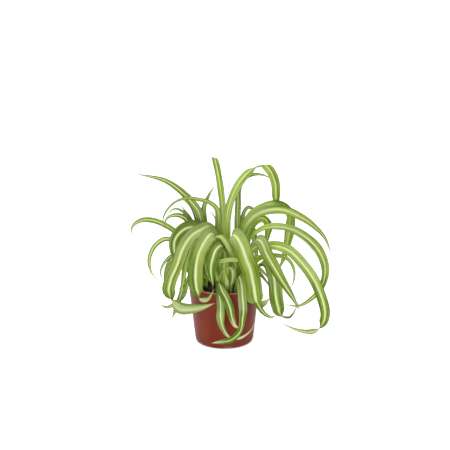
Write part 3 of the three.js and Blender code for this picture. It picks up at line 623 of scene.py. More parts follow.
def make_peat(name, by_lump):
    """Dark peat. by_lump mixes in each lump's own shade, for the crumbs."""
    peat, add = start_material(name)
    place = add("TexCoord").outputs["Object"]
    coarse = noise(add, place, scale=180, detail=4)
    fine = noise(add, place, scale=1500, detail=2)
    brown = mixed(add, ease(add, coarse, 0.35, 0.65), PEAT_DARK, PEAT_LIGHT)
    brown = mixed(add, ease(add, fine, 0.5, 0.75, 0, 0.5), brown, PEAT_WET)
    if by_lump:
        brown = mixed(add, ease(add, stored(add, "shade"), 0.80, 1.0, 0, 0.7), brown, BARK)
    relief = maths(add, "ADD", coarse, maths(add, "MULTIPLY", fine, 0.4))
    bump = add("Bump", {"Height": relief, "Strength": 0.9, "Distance": 0.8 * MM}).outputs[0]
    rough = ease(add, coarse, 0.3, 0.7, 0.95, 0.7)
    add("OutputMaterial", [coated(add, brown, rough, gloss=0.25, normal=bump)])
    return peat


dress(soil, "soil", make_peat("peat", by_lump=False))
dress(crumbs, "soil", make_peat("peat_crumbs", by_lump=True))
print("soil dressed")

# %% [markdown]
# ## The crowns
#
# Each rosette grows from a crown, a short rootstock that stands in the soil. Hardly anything
# of it shows: a low dome, earthed up and stained by peat, with paler patches of root skin. It
# is a turned profile like the pot, roughened with the same random waves as the soil.

# %% Crowns
CROWN_SIDES = 96
CROWN_BUMPS = 0.7  # millimetres
SKIN_DARK, SKIN_PALE, SKIN_FIBRE = linear(46, 34, 27), linear(128, 106, 66), linear(30, 23, 18)


def make_crown(name, centre, seed):
    """The root's outline up to the brim and over the dome, pushed in and out by waves: its
    radius r grows by r times the bump over r + 8 mm, which is nothing at the axis."""
    brim = CROWN_EDGE - 3 * MM
    root = [[NARROW_MIDDLE, brim - 30 * MM], [4 * MM, brim - 28 * MM], [8 * MM, brim - 15 * MM]]
    root += [[15 * MM, brim - 5 * MM], [CROWN_RADIUS, brim], [CROWN_RADIUS, CROWN_EDGE]]
    root += [[NARROW_MIDDLE, CROWN_EDGE + CROWN_RISE]]
    grid = turned(outline(root, spacing=1.2 * MM), CROWN_SIDES)
    rng = np.random.default_rng(seed)
    x, y, z = np.moveaxis(grid, -1, 0)
    bumps = waves(rng, x + z, y - z, longest=12 * MM) * CROWN_BUMPS * MM
    grow = 1 + bumps / (np.hypot(x, y) + 8 * MM)
    height = z - np.abs(bumps) * (z > brim)
    points = np.stack([x * grow + centre[0], y * grow + centre[1], height], -1)
    return quad_mesh(name, points.reshape(-1, 3), ring_quads(len(grid), CROWN_SIDES))


def make_crown_skin():
    """Earth-stained root skin: pale fibrous patches show through the peat."""
    skin, add = start_material("crown_skin")
    place = add("TexCoord").outputs["Object"]
    patches = noise(add, place, scale=150, detail=4)
    fibres = noise(add, place, scale=900, detail=2)
    colour = mixed(add, ease(add, patches, 0.5, 0.72), SKIN_DARK, SKIN_PALE)
    colour = mixed(add, ease(add, fibres, 0.45, 0.7, 0, 0.5), colour, SKIN_FIBRE)
    bump = add("Bump", {"Height": fibres, "Strength": 0.7, "Distance": 0.5 * MM}).outputs[0]
    add("OutputMaterial", [coated(add, colour, rough=0.85, gloss=0.25, normal=bump)])
    return skin


crown_skin = make_crown_skin()
for seed, (side, centre) in enumerate(CROWNS.items()):
    dress(make_crown(f"crown_{side}_root", centre, seed), f"crown_{side}", crown_skin)
print("crowns:", len(CROWNS))

# %% [markdown]
# ## Where the leaves go
#
# A leaf is a strip carried along a route. The route starts on a ring round its crown, stands
# up in a short sheath, and then runs through a few points: up, over its arch and down to the
# tip. The rows below are the same ones that the solids are built from, so each fine leaf lies
# where its solid lies.
#
# A point written at(pixel, pixel, depth) was picked in the photograph, and its depth was
# judged from what the leaf passes in front of. One ray leaves the camera through each pixel,
# so with the camera's place and lens known, the pixel and the depth give one point in
# millimetres. A point written as a plain list is given straight in millimetres, as for the
# leaves at the back, of which the photograph shows nothing.
#
# In a row: name, crown, tier (how far out it stands), turn (degrees round the crown, 270 to
# the front), width, taper (share of the length where it starts to narrow), twist as pairs of
# share and degrees, and the points.

# %% Leaf routes
FOCAL = 1540.0  # of the photograph's camera, in its pixels
DISTANCE = 2533.0  # millimetres from that camera to the origin, along its view
PHOTO_MIDDLE = (225.0, 225.0)  # pixel
PHOTO_ORIGIN = (224.3, 338.0)  # pixel where the origin lies


def at(pixel_x, pixel_y, depth):
    """The place at a depth that the photograph shows at a pixel, to the nearest millimetre.
    sin and cos are those of the camera's angle below the horizon, slope is the ray's against
    the camera's view, and right and below say how far the origin lies from the middle of the
    view. The height is (slope (depth cos + distance) - depth sin + below) / (cos + slope sin)."""
    sin, cos = np.sin(np.radians(CAMERA_DOWN)), np.cos(np.radians(CAMERA_DOWN))
    right = (PHOTO_ORIGIN[0] - PHOTO_MIDDLE[0]) / FOCAL * DISTANCE
    below = (PHOTO_ORIGIN[1] - PHOTO_MIDDLE[1]) / FOCAL * DISTANCE
    slope = (PHOTO_MIDDLE[1] - pixel_y) / FOCAL
    z = (slope * (depth * cos + DISTANCE) - depth * sin + below) / (cos + slope * sin)
    away = depth * cos - z * sin + DISTANCE
    x = (pixel_x - PHOTO_MIDDLE[0]) / FOCAL * away - right
    return [int(np.floor(value + 0.5)) for value in (x, depth, z)]


LEAVES = [
    # front crown
    ["front_right_broad", "front", 8, 305, 27, 0.86, [[0.1, 0], [0.35, 42], [0.85, 42], [0.93, 120]],
     [[9, -38, 164], [13, -41, 192], [20, -50, 191], [28, -61, 179], [36, -71, 158],
      at(250.2, 270, -79), at(253.6, 286, -86), at(254.6, 296, -90), at(257.5, 302.5, -90),
      at(263, 302.5, -85), at(270, 298.5, -80)]],
    ["front_right_inner", "front", 5, 350, 12, 0.86, [[0.1, 0], [0.4, -15]],
     [at(236.2, 268, -34), at(232.8, 257, -48), at(229.8, 247.5, -58), at(226.4, 241, -62),
      at(222, 236.9, -64), at(215.5, 236.7, -65)]],
    ["front_left_broad", "front", 10, 218, 25, 0.7, [[0.1, 0], [0.4, -20], [0.8, -20], [0.9, -185]],
     [[-14, -40, 168], [-15, -46, 193], [-21, -53, 197], [-30, -62, 189], at(199.5, 252, -69),
      at(196.5, 264, -75), at(195.3, 277, -79), at(197, 290, -82), at(201.5, 299.5, -83),
      at(208, 300, -81), at(214.5, 289, -74)]],
    ["front_left_narrow", "front", 14, 192, 10, 0.5, [[0.1, 0], [0.4, -40]],
     [at(208, 262, -34), at(203, 246, -37), at(197, 240.5, -39), at(191.5, 247, -42), at(188, 259, -46),
      at(185.5, 272, -50), at(183, 285, -54), at(178.5, 296.5, -57)]],
    ["left_sweep", "front", 6, 190, 21, 0.8, [[0.1, 0], [0.35, -30], [0.7, -40], [0.82, -210]],
     [[-9, -28, 160], [-13, -21, 186], [-24, -23, 199], [-37, -33, 198], at(192, 235.6, -38),
      at(184, 247.5, -45), at(177.5, 264, -51), at(170.5, 281, -57), at(169, 292, -61),
      at(172.5, 302.5, -66), at(180, 308.3, -72), at(190, 309, -77), at(201, 307.5, -79),
      at(214.5, 303.5, -78)]],
    ["front_left_inner", "front", 12, 236, 16, 0.6, [[0.1, 0], [0.4, -55]],
     [[-15, -48, 140], [-18, -51, 162], [-22, -53, 173], [-27, -56, 173], [-31, -59, 163],
      [-30, -60, 149], [-27, -59, 133], [-20, -56, 119]]],
    ["front_centre", "front", 14, 262, 20, 0.7, [[0.15, 0], [0.55, -80]],
     [at(224, 264, -52), at(224, 253, -53), at(222.8, 247, -56), at(220.2, 245.8, -62.5),
      at(216, 250, -68), at(212.8, 258.5, -70), at(211, 268, -70), at(211.3, 277, -68),
      at(213.5, 286, -65)]],
    ["front_small_arch", "front", 13, 300, 14, 0.76, [[0.05, 0], [0.2, -60], [0.47, -60], [0.64, -150]],
     [at(232, 283, -51), at(233, 275, -57), at(231.5, 269, -62), at(226, 268.4, -65),
      at(221.6, 273, -68), at(219.6, 281, -70.5), at(221.5, 290, -73), at(226, 299, -76),
      at(230, 308, -78), at(232, 317, -80), at(235, 325.5, -80.5), at(240.5, 329, -79)]],
    ["front_hook_right", "front", 16, 326, 16, 0.74, [[0.1, 0], [0.5, 5], [0.68, 34]],
     [[23, -52, 127], [27, -62, 120], [29, -74, 102], at(243.7, 312, -83), at(243.6, 317, -89),
      at(240.5, 331.5, -92), at(231, 340, -92), at(211, 343.2, -85)]],
    ["front_hook_left", "front", 16, 246, 14, 0.5, [[0.1, 0], [0.4, 0], [0.56, 60], [0.7, 82]],
     [[-9, -55, 118], [-9, -64, 108], at(220.6, 306, -71), at(220.3, 316, -73), at(222.8, 327, -74),
      at(229, 336.2, -76), at(237.5, 337.8, -78), at(246, 334.5, -80), at(251.5, 329, -80),
      at(255, 321, -80)]],
    ["inner_cross", "front", 12, 340, 7, 0.88, [[0, 0]],
     [at(245, 277, -41), at(246.5, 267.5, -47), at(243.5, 261.5, -57), at(237, 260, -64),
      at(229, 260, -67), at(222, 261, -65), at(214.5, 262.5, -60)]],
    ["inner_small", "front", 15, 276, 9, 0.5, [[0, 0]],
     [at(226.5, 285, -54), at(226.3, 279.5, -57), at(225, 272, -60)]],
    ["upright_front", "front", 0, 120, 12, 0.75, [[0, 0]],
     [at(222, 262, -20), at(222.2, 245, -13), at(222.4, 228, -7), at(222.4, 210, 0), at(220.7, 191, 9),
      at(218.3, 175, 19), at(215.8, 162.5, 30), at(214.6, 158, 43), at(215, 162.5, 57),
      at(216.5, 173, 68)]],
    ["tall_arch", "front", 3, 60, 15, 0.86, [[0.06, 0], [0.2, 60], [0.58, 60], [0.65, 130], [0.72, 60]],
     [[6, -18, 142], [4, -12, 174], [3, -5, 204], at(230, 202, 1), at(238.5, 183, 8),
      at(247.2, 172.5, 13), at(257.2, 166, 18), at(265, 165.5, 21), at(271.3, 171.5, 26),
      at(275.3, 183, 36), at(275.6, 194.5, 49), at(275.5, 205, 58), at(274, 214, 62)]],

    # left crown
    ["left_upright", "left", 0, 100, 12, 0.5, [[0, 0]],
     [[-24, 25, 123], [-28, 29, 157], [-33, 31, 191], at(204, 207, 32), at(208.5, 196, 33),
      at(215.8, 184.5, 34)]],
    ["inner_pale", "left", 1, 330, 7, 0.5, [[0, 0]],
     [at(216, 262, 2), at(217.5, 245, -2), at(217.2, 231, -5), at(215.5, 219, -6), at(211, 212.5, -4),
      at(206, 216, 0)]],
    ["left_arch", "left", 3, 60, 12, 0.6, [[0, 0]],
     [[-15, 19, 126], [-12, 16, 165], at(218.8, 222, 12), at(218.3, 209.5, 10), at(211, 202.7, 7),
      at(200, 198.7, 3), at(187, 197.6, -1), at(174, 201.8, -5), at(165.5, 212, -8),
      at(163.2, 221, -10), at(167, 228, -11)]],
    ["left_straight", "left", 5, 140, 13, 0.5, [[0.1, 0], [0.5, -35]],
     [[-31, 21, 142], [-36, 21, 183], at(198, 211, 21), at(190, 200, 20), at(179, 189, 18),
      at(165, 180.7, 14), at(150, 176.3, 10), at(135, 174, 6)]],
    ["left_under", "left", 7, 125, 10, 0.5, [[0.1, 0], [0.5, -35]],
     [[-31, 33, 134], [-41, 38, 170], [-46, 37, 198], [-56, 37, 218], [-71, 35, 230]]],
    ["left_thin_arch", "left", 8, 158, 7, 0.5, [[0.1, 0], [0.5, -50]],
     [[-41, 29, 146], [-53, 28, 187], [-66, 26, 209], at(175, 208.5, 22), at(165, 216, 17)]],
    ["left_behind", "left", 9, 140, 8, 0.5, [[0.1, 0], [0.5, -25]],
     [[-38, 40, 138], [-46, 44, 171], [-56, 45, 193], [-73, 43, 218]]],
    ["left_back_arch", "left", 10, 176, 12, 0.5, [[0.1, 0], [0.4, -50]],
     [[-44, 16, 141], [-51, 16, 178], [-62, 15, 201], [-76, 13, 208], [-91, 12, 204], [-99, 11, 187]]],
    ["left_dark_arch", "left", 11, 205, 23, 0.54, [[0.1, 0], [0.4, -45]],
     [[-30, 6, 146], [-31, 1, 173], [-39, -5, 191], [-53, -10, 195], [-68, -15, 190], [-78, -20, 178],
      [-80, -24, 161], [-75, -27, 140], [-71, -29, 119]]],
    ["left_far_arch", "left", 13, 188, 10, 0.72, [[0.1, 0], [0.4, -50]],
     [[-44, 8, 125], [-60, 7, 159], at(177, 233.5, 6), at(166, 226, 3), at(153, 220.8, 0),
      at(141, 220.3, -3), at(133.2, 226, -6), at(130.5, 236, -9)]],
    ["left_loop_large", "left", 15, 198, 8, 0.6, [[0.1, 0], [0.4, -50]],
     [at(192, 271, 2), at(183, 253, -3), at(174.5, 241.5, -8), at(165, 239, -13), at(155, 246, -18),
      at(149.6, 259, -21), at(151.5, 272, -24), at(154.5, 276, -27), at(162, 284.5, -30)]],
    ["left_loop_small", "left", 16, 215, 8, 0.4, [[0.1, 0], [0.4, -50]],
     [at(190, 276, -8), at(182, 261, -14), at(173.5, 255.8, -19), at(165, 262, -24),
      at(160.8, 273, -28), at(165, 283, -31)]],
    ["left_drop", "left", 13, 235, 9, 0.85, [[0.1, 0], [0.4, -30]],
     [at(199, 270, -12), at(193, 254.5, -21), at(187, 258.5, -30), at(184, 273, -36), at(183, 288, -40),
      at(177.5, 305, -44), at(172, 318.5, -45)]],
    ["left_low_tip", "left", 15, 255, 8, 0.8, [[0.1, 0], [0.4, -40]],
     [at(200, 279, -16), [-49, -24, 120], [-57, -30, 109], [-64, -35, 89], [-77, -38, 76],
      [-92, -39, 69], [-104, -39, 74]]],
    ["left_cross", "front", 15, 170, 7, 0.5, [[0.1, 0], [0.5, -40]],
     [at(205, 278, -26), at(198, 270, -34), at(191, 273.5, -41), at(186, 281, -45), at(181, 287.5, -47),
      at(174.5, 288, -46)]],

    # right crown
    ["upright_back", "right", 0, 110, 11, 0.48, [[0, 0]],
     [[22, 20, 127], [22, 26, 155], [21, 32, 186], [22, 36, 220], at(238.5, 190, 40),
      at(242, 180.5, 46), at(249, 176, 54), at(258, 174.3, 60), at(267, 176.5, 64),
      at(273, 180.5, 66)]],
    ["small_back_curl", "right", 4, 92, 9, 0.5, [[0.1, 0], [0.6, 30]],
     [[22, 38, 130], [25, 48, 156], [28, 55, 181], [32, 60, 198], [39, 65, 205], at(254.5, 210.5, 71),
      at(258.5, 222, 77)]],
    ["right_hanging", "right", 6, 56, 15, 0.75, [[0.1, 0], [0.7, 60]],
     [[32, 33, 120], [35, 38, 150], [41, 40, 176], [51, 41, 190], [64, 41, 194], [73, 40, 182],
      [71, 38, 165], [68, 36, 145]]],
    ["right_high_arch", "right", 7, 10, 16, 0.5, [[0.1, 0], [0.4, 45]],
     [[31, 15, 126], [27, 14, 150], [28, 14, 174], [38, 14, 194], at(258, 214, 14), at(270, 210, 13),
      at(284, 210.4, 11), at(299, 216, 8), at(313, 225.5, 5), at(325, 238, 2), at(331.5, 254.5, -2)]],
    ["right_band", "right", 9, 22, 19, 0.74, [[0.1, 0], [0.4, 0], [0.56, 8], [0.71, 65]],
     [[36, 20, 120], [33, 25, 152], [32, 29, 178], [40, 32, 197], [58, 35, 212], [77, 38, 218],
      [95, 41, 214], [106, 43, 199], at(289, 230, 45), at(286.5, 246, 46), at(282.5, 260, 42),
      at(277.5, 271, 38)]],
    ["right_wide_arch", "right", 10, 350, 16, 0.56, [[0.1, 0], [0.3, 20], [0.42, 25], [0.6, 60]],
     [at(248, 250, 6), at(253, 236.5, 4), at(262, 229.5, 1), at(275, 226.9, -2), at(290, 229.3, -7),
      at(306, 237.5, -12), at(319, 251, -16), at(325, 269, -20), at(322, 286, -23),
      at(311, 298.5, -26), at(298, 306, -29), at(283.5, 303.7, -31)]],
    ["right_diagonal", "right", 11, 295, 22, 0.54, [[0.12, 0], [0.32, 35]],
     [[34, -20, 127], [43, -31, 164], [51, -38, 183], [58, -46, 182], [67, -54, 164], at(275, 269, -63),
      at(284, 284, -71), at(292.5, 297.5, -77), at(300, 311.5, -80)]],
    ["right_short", "right", 12, 5, 8, 0.4, [[0.1, 0], [0.5, 50]],
     [[46, 10, 120], at(260, 258.5, 4), at(267, 255.5, -1), at(277, 255.3, -6), at(285.5, 256.8, -11),
      at(291.5, 263, -15), at(294.5, 273, -17), at(293, 283, -18), at(288, 291.3, -18)]],
    ["right_low_sweep", "right", 13, 335, 17, 0.66, [[0.1, 0], [0.35, 45], [0.73, 55], [0.86, 230]],
     [[45, -2, 135], [57, -10, 160], [73, -19, 167], [90, -28, 168], [106, -35, 162], at(303, 264, -43),
      at(313.5, 279, -49), at(321, 296, -53), at(325.3, 313, -56), at(322, 326, -56),
      at(312, 332, -53), at(298, 330.3, -49), at(281.5, 323, -45)]],
    ["right_blade", "right", 15, 308, 23, 0.62, [[0.15, 0], [0.45, 38], [0.7, 38], [0.8, 120]],
     [[44, -12, 116], [56, -20, 136], [67, -29, 143], at(269.5, 264, -36), at(273, 273, -42),
      at(275, 284, -48), at(276, 295, -52), at(277.3, 305, -55), at(281.5, 314.5, -56),
      at(288.5, 316, -55), at(292.5, 313, -54), at(297, 305.5, -54), at(299.5, 298, -53)]],
    ["right_short_low", "right", 16, 325, 8, 0.5, [[0.1, 0], [0.5, 40]],
     [[46, -3, 106], at(257, 268.5, -5), at(262, 264.5, -9), at(267.5, 267, -14), at(272, 275, -18)]],
    ["right_cross_low", "front", 12, 10, 7, 0.5, [[0.1, 0], [0.5, 40]],
     [at(240, 278, -26), at(246, 271, -29), at(253, 270, -31), at(260, 274, -33), at(266, 281, -34),
      at(271, 289, -33)]],
    ["right_low_curl", "right", 16, 278, 11, 0.6, [[0.1, 0], [0.5, 30]],
     [at(245, 281, -28), at(249.5, 281, -42), at(253, 292, -53), at(257.5, 304, -59),
      at(264.5, 313.5, -61), at(272, 316.8, -61), at(277, 314.5, -60)]],
    ["right_thin_curl", "front", 16, 352, 6, 0.8, [[0.1, 0], [0.5, 40]],
     [at(245, 275, -34), at(249, 268.5, -38), at(254, 266, -41), at(259, 268.5, -43),
      at(264, 272.5, -44), at(268, 278, -44)]],

    # leaves that arch to the back
    ["back_centre_tall", "front", 4, 90, 15, 0.55, [[0, 0]],
     [[2, -8, 146], [3, 8, 182], [3, 40, 196], [2, 72, 178], [2, 94, 140], [2, 104, 98]]],
    ["back_right_tall", "right", 13, 78, 14, 0.55, [[0, 0]],
     [[32, 47, 134], [36, 62, 166], [40, 88, 170], [48, 110, 146], [54, 124, 108], [56, 128, 76]]],
    ["back_left_tall", "left", 9, 70, 14, 0.55, [[0, 0]],
     [[-17, 34, 138], [-14, 50, 164], [-12, 76, 167], [-9, 102, 142], [-8, 120, 104], [-10, 126, 70]]],
    ["back_left_mid", "left", 12, 95, 16, 0.6, [[0, 0]],
     [[-24, 40, 130], [-24, 58, 152], [-22, 84, 150], [-20, 108, 122], [-20, 122, 84], [-24, 126, 52]]],
    ["back_left_low", "left", 14, 112, 13, 0.55, [[0, 0]],
     [[-34, 40, 116], [-42, 60, 130], [-52, 86, 120], [-58, 104, 90], [-60, 110, 56]]],
    ["back_left_side", "left", 15, 132, 15, 0.6, [[0, 0]],
     [[-42, 32, 120], [-56, 46, 138], [-74, 62, 134], [-90, 74, 108], [-98, 78, 74], [-96, 74, 44]]],
    ["back_left_reach", "left", 16, 160, 11, 0.5, [[0, 0]],
     [[-50, 22, 114], [-62, 32, 127], [-74, 44, 120], [-84, 51, 94], [-87, 53, 62], [-84, 48, 38]]],
    ["back_right_mid", "right", 12, 95, 16, 0.6, [[0, 0]],
     [[19, 41, 126], [18, 56, 146], [22, 80, 148], [26, 104, 124], [32, 120, 88], [38, 124, 60]]],
    ["back_right_side", "right", 15, 60, 15, 0.6, [[0, 0]],
     [[38, 38, 120], [50, 54, 138], [66, 74, 134], [80, 90, 106], [88, 96, 74], [90, 94, 48]]],
    ["back_right_low", "right", 14, 35, 12, 0.5, [[0, 0]],
     [[46, 31, 116], [56, 42, 128], [68, 56, 120], [76, 67, 96], [79, 71, 66], [77, 69, 40]]],
    ["back_right_short", "right", 14, 115, 13, 0.55, [[0, 0]],
     [[12, 42, 114], [8, 60, 124], [4, 84, 114], [2, 102, 86], [2, 108, 54]]],
]
print("leaves:", len(LEAVES))

# %% [markdown]
# ## From a route to a blade
#
# A smooth curve through the points comes first. The centripetal Catmull-Rom curve makes no
# loop between two points, which matters where a leaf folds back on itself.
#
# A strip also needs to know which way its face looks. A direction that starts out facing the
# crown's axis is carried along the curve: at each small step it loses only the part that
# points along the curve, so it never spins by itself. The twist of the row is then added.
#
# Last comes the cross-section. A spider plant's blade is a shallow channel, rounded along
# its midrib, thickest there and thin at its margins, which wave a little up and down.

# %% Route to curve
SAMPLES = 320
FIRST_TIER = 3.5 * MM
TIER_STEP = 1.1 * MM
SHEATH_RISE = 14 * MM
SHEATH_LEAN = 2.5 * MM
ROOTED = 1.2 * MM  # how far the fine leaf reaches down into its crown


def smooth_route(points):
    """The centripetal Catmull-Rom curve: each stretch is a cubic whose end slopes come from
    the neighbouring points, divided by the square roots of the distances between them."""
    ends = np.vstack([2 * points[0] - points[1], points, 2 * points[-1] - points[-2]])
    gaps = np.sqrt(np.linalg.norm(np.diff(ends, axis=0), axis=1))
    along = np.linspace(0, len(points) - 1, SAMPLES + 1)
    first = np.minimum(along.astype(int), len(points) - 2)
    t = (along - first)[:, None]
    before, here, after = (gaps[first + k][:, None] for k in range(3))
    a, b, c, d = (ends[first + k] for k in range(4))
    leave = (b - a) / before - (c - a) / (before + here) + (c - b) / here
    arrive = (c - b) / here - (d - b) / (here + after) + (d - c) / after
    rise = 3 * t**2 - 2 * t**3
    start, stop = (t - 2 * t**2 + t**3) * leave * here, (t**3 - t**2) * arrive * here
    return b * (1 - rise) + c * rise + start + stop


def carried(out, tangents):
    """The face's direction at each sample, carried along without spinning. Each step needs
    the one before, so this is the one loop along a leaf."""
    faces = np.empty_like(tangents)
    face = -out
    for i, tangent in enumerate(tangents):
        face = face - tangent * (face @ tangent)
        face = face / np.linalg.norm(face)
        faces[i] = face
    return faces


def twist_of(share, pairs):
    """Degrees of twist at each share of the length, eased from each pair to the next."""
    pairs = np.array(pairs, float)
    total = np.full(share.shape, pairs[0, 1])
    for (low, start), (high, end) in zip(pairs[:-1], pairs[1:]):
        total += (end - start) * smoothstep(share, low, high)
    return total


# %% Curve to blade
BASE_WIDTH = 0.42  # of the sheath, as a share of the blade's width
BASE_LEAST = 5 * MM
BASE_MOST = 8.5 * MM
SWELLS = (0.06, 0.36)  # shares of the length between which the sheath widens to the blade
TIP_CURVE = 1.7
TIP_LEAST = 0.5 * MM
KEEL = np.radians(14)
KEEL_ROUND = 0.2  # how round the keel's fold is, as a share of half the width
UNWRAPS = (0.02, 0.2)  # shares between which the foot, round the crown, opens to a keel
RIPPLE = 0.07  # height of the margins' waves, as a share of half the width
RIPPLE_GROWS, RIPPLE_ENDS = (0.2, 0.4), (0.85, 1)
CREST_TO_CREST = (34, 52)  # millimetres, least and most
STATIONS = 97
BEND_WEIGHT = 12 * MM  # a bend of one radian counts as much as this length of blade
ACROSS = np.array([-1, -0.985, -0.9, -0.76, -0.6, -0.44, -0.28, -0.13, 0])
ACROSS = np.concatenate([ACROSS, -ACROSS[-2::-1]])
BLADE_MIDDLE = 0.62 * MM
BLADE_MARGIN = 0.26 * MM
TIP_THINNESS = 0.35  # of the blade's thickness, where the width has shrunk to nothing
THICK_FROM = 3 * MM  # half the width from which a blade has its full thickness


def width_of(share, width, taper):
    """Full width at each share of the length: a narrow sheath that swells to the full width,
    then from taper on a curve that draws in to a fine tip."""
    base = np.clip(BASE_WIDTH * width, BASE_LEAST, BASE_MOST)
    swell = smoothstep(share, *SWELLS)
    fall = np.clip((share - taper) / (1 - taper), 0, 1)
    return np.maximum((base + (width - base) * swell) * (1 - fall**TIP_CURVE), TIP_LEAST)


def section(half, share, ring, length, rng):
    """How far each point across stands to the side of the midrib and above it. The lift is a
    rounded V of the keel's angle; near the foot it is the arc of the ring instead, and past
    it the margins carry a slow wave, a fifth longer on one side than on the other."""
    v = ACROSS[None, :]
    half, share = half[:, None], share[:, None]
    v_shape = (np.hypot(v, KEEL_ROUND) - KEEL_ROUND) / (np.hypot(1, KEEL_ROUND) - KEEL_ROUND)
    wrapped = 1 - smoothstep(share, *UNWRAPS)
    lift = half * np.sin(KEEL) * v_shape * (1 - wrapped) + half**2 * v**2 / (2 * ring) * wrapped
    beat = rng.uniform(*CREST_TO_CREST) * MM
    phase = rng.uniform(0, 2 * np.pi, 2)
    wave = np.where(v > 0, np.sin(2 * np.pi * share * length / beat + phase[0]),
                    np.sin(2 * np.pi * share * length / (beat * 1.2) + phase[1]))
    ripple = RIPPLE * half * wave * np.abs(v) ** 2.5
    lift = lift + ripple * smoothstep(share, *RIPPLE_GROWS) * (1 - smoothstep(share, *RIPPLE_ENDS))
    return half * np.cos(KEEL * (1 - wrapped)) * v, lift


def blade_quads(stations, around):
    """Faces round a flat tube whose section has its upper points first, then its lower ones
    backwards, and faces across its two open ends."""
    j = np.arange(around // 2 - 1)
    foot = np.stack([j, around - 1 - j, around - 2 - j, j + 1], -1)
    tip = foot[:, ::-1] + (stations - 1) * around
    return np.concatenate([tube_quads(stations, around), foot, tip])


def make_leaf(row, seed):
    """One leaf as a closed thin blade, with its coordinates stored for the material."""
    name, crown, tier, turn, width, taper, twist, points = row
    rng = np.random.default_rng(seed)
    ring = FIRST_TIER + TIER_STEP * tier
    out = np.array([np.cos(np.radians(turn)), np.sin(np.radians(turn)), 0])
    foot = np.array([*CROWNS[crown], 0]) + out * ring
    foot[2] = CROWN_EDGE + CROWN_RISE * (1 - ring / CROWN_RADIUS) + GAP - ROOTED
    collar = foot + out * SHEATH_LEAN * ring / CROWN_RADIUS
    collar[2] += SHEATH_RISE + ROOTED
    curve = smooth_route(np.vstack([foot, collar, np.array(points) * MM]))

    # direction, length and face at every sample
    tangents = np.gradient(curve, axis=0)
    tangents /= np.linalg.norm(tangents, axis=1, keepdims=True)
    steps = np.linalg.norm(np.diff(curve, axis=0), axis=1)
    along = np.concatenate([[0], np.cumsum(steps)])
    share = along / along[-1]
    faces = carried(out, tangents)
    angle = np.radians(twist_of(share, twist))[:, None]
    faces = faces * np.cos(angle) + np.cross(tangents, faces) * np.sin(angle)

    # stations, closer together where the blade bends or twists
    turned_by = np.linalg.norm(np.diff(tangents, axis=0), axis=1) + np.abs(np.diff(angle[:, 0]))
    measure = np.concatenate([[0], np.cumsum(steps + BEND_WEIGHT * turned_by)])
    samples = np.arange(SAMPLES + 1)
    stations = np.interp(np.linspace(0, measure[-1], STATIONS), measure, samples)
    middle, tangent, face = (
        np.stack([np.interp(stations, samples, column) for column in values.T], 1)
        for values in (curve, tangents, faces)
    )
    share = np.interp(stations, samples, share)
    face /= np.linalg.norm(face, axis=1, keepdims=True)
    side = np.cross(tangent, face)

    half = width_of(share, width * MM, taper) / 2
    aside, lift = section(half, share, ring, along[-1], rng)
    thick = BLADE_MARGIN + (BLADE_MIDDLE - BLADE_MARGIN) * (1 - ACROSS**2)[None, :]
    swell = TIP_THINNESS + (1 - TIP_THINNESS) * np.clip(half / THICK_FROM, 0, 1)
    thick = thick * swell[:, None]
    upper = middle[:, None] + side[:, None] * aside[..., None]
    upper = upper + face[:, None] * (lift + thick / 2)[..., None]
    lower = upper - face[:, None] * thick[..., None]
    grid = np.concatenate([upper, lower[:, ::-1]], axis=1)
    around = 2 * len(ACROSS)
    quads = blade_quads(STATIONS, around)
    leaf = quad_mesh(f"leaf_{name}_blade", grid.reshape(-1, 3), quads)

    # along 0 to 1, across -1 to 1, and 1 on the upper face or 0 on the lower
    where = np.empty((STATIONS, around, 3))
    where[..., 0] = share[:, None]
    where[..., 1] = np.concatenate([ACROSS, ACROSS[::-1]])
    where[..., 2] = np.repeat([1, 0], len(ACROSS))
    note(leaf, "blade", where.reshape(-1, 3))
    lengthwise = np.broadcast_to(share[:, None] * along[-1], (STATIONS, around))
    note(leaf, "length", lengthwise.ravel() / MM)
    note(leaf, "tone", np.full(STATIONS * around, TONE.get(name, rng.uniform(0.1, 0.9))))
    note(leaf, "width", np.full(STATIONS * around, float(width)))
    return leaf


# %% [markdown]
# ## The leaf's finish
#
# The colour follows the blade, not the room, so the mesh carries its own coordinates: how
# far along a point is, how far across, and on which face. Across the blade there is a cream
# stripe down the middle, soft grey-green beside it and a fresh yellow-green towards the
# margins, all drawn out into fine parallel lines by a noise that is stretched along the leaf.
# The foot is blanched, because it grew in the shade of its sheath, and painted lighter still:
# painted light for the shaded middle of the plant. The very tip is dry.
#
# Leaves age one by one. Some have a long dry end, straw-coloured and then tan, and some are
# painted paler all over, painted light where the plant's own shade darkens them. Three small
# tables say which.
#
# Skin and light: the skin has a waxy sheen, and the blade is thin enough for light to pass. A
# Translucent shader mixed with the Principled one lets the light of the far side through,
# which is what makes a leaf look alive instead of painted.

# %% Leaf colours
# each from the old, dark leaves to the young, light ones
MARGIN_OLD, MARGIN_YOUNG = linear(94, 122, 8), linear(150, 172, 20)
INNER_OLD, INNER_YOUNG = linear(98, 126, 24), linear(152, 172, 52)

# clouds, bands and veins, each with its pale marks and its dark ones
CLOUD_PALE, CLOUD_DARK = linear(172, 186, 100), linear(80, 112, 6)
BAND_PALE, BAND_DARK = linear(188, 200, 108), linear(78, 110, 4)
VEIN_PALE, VEIN_DARK = linear(196, 208, 118), linear(76, 104, 6)

# a painted sheen over the arch, and a deeper green where the blade hangs
PAINTED_SHEEN_OVER_THE_ARCH, WHERE_IT_HANGS = linear(172, 190, 130), linear(94, 126, 6)
SHOULDER, CREAM = linear(194, 206, 120), linear(238, 244, 206)
UNDER_GREEN, UNDER_PALE, UNDER_HEM = linear(150, 172, 96), linear(214, 220, 172), linear(112, 140, 52)
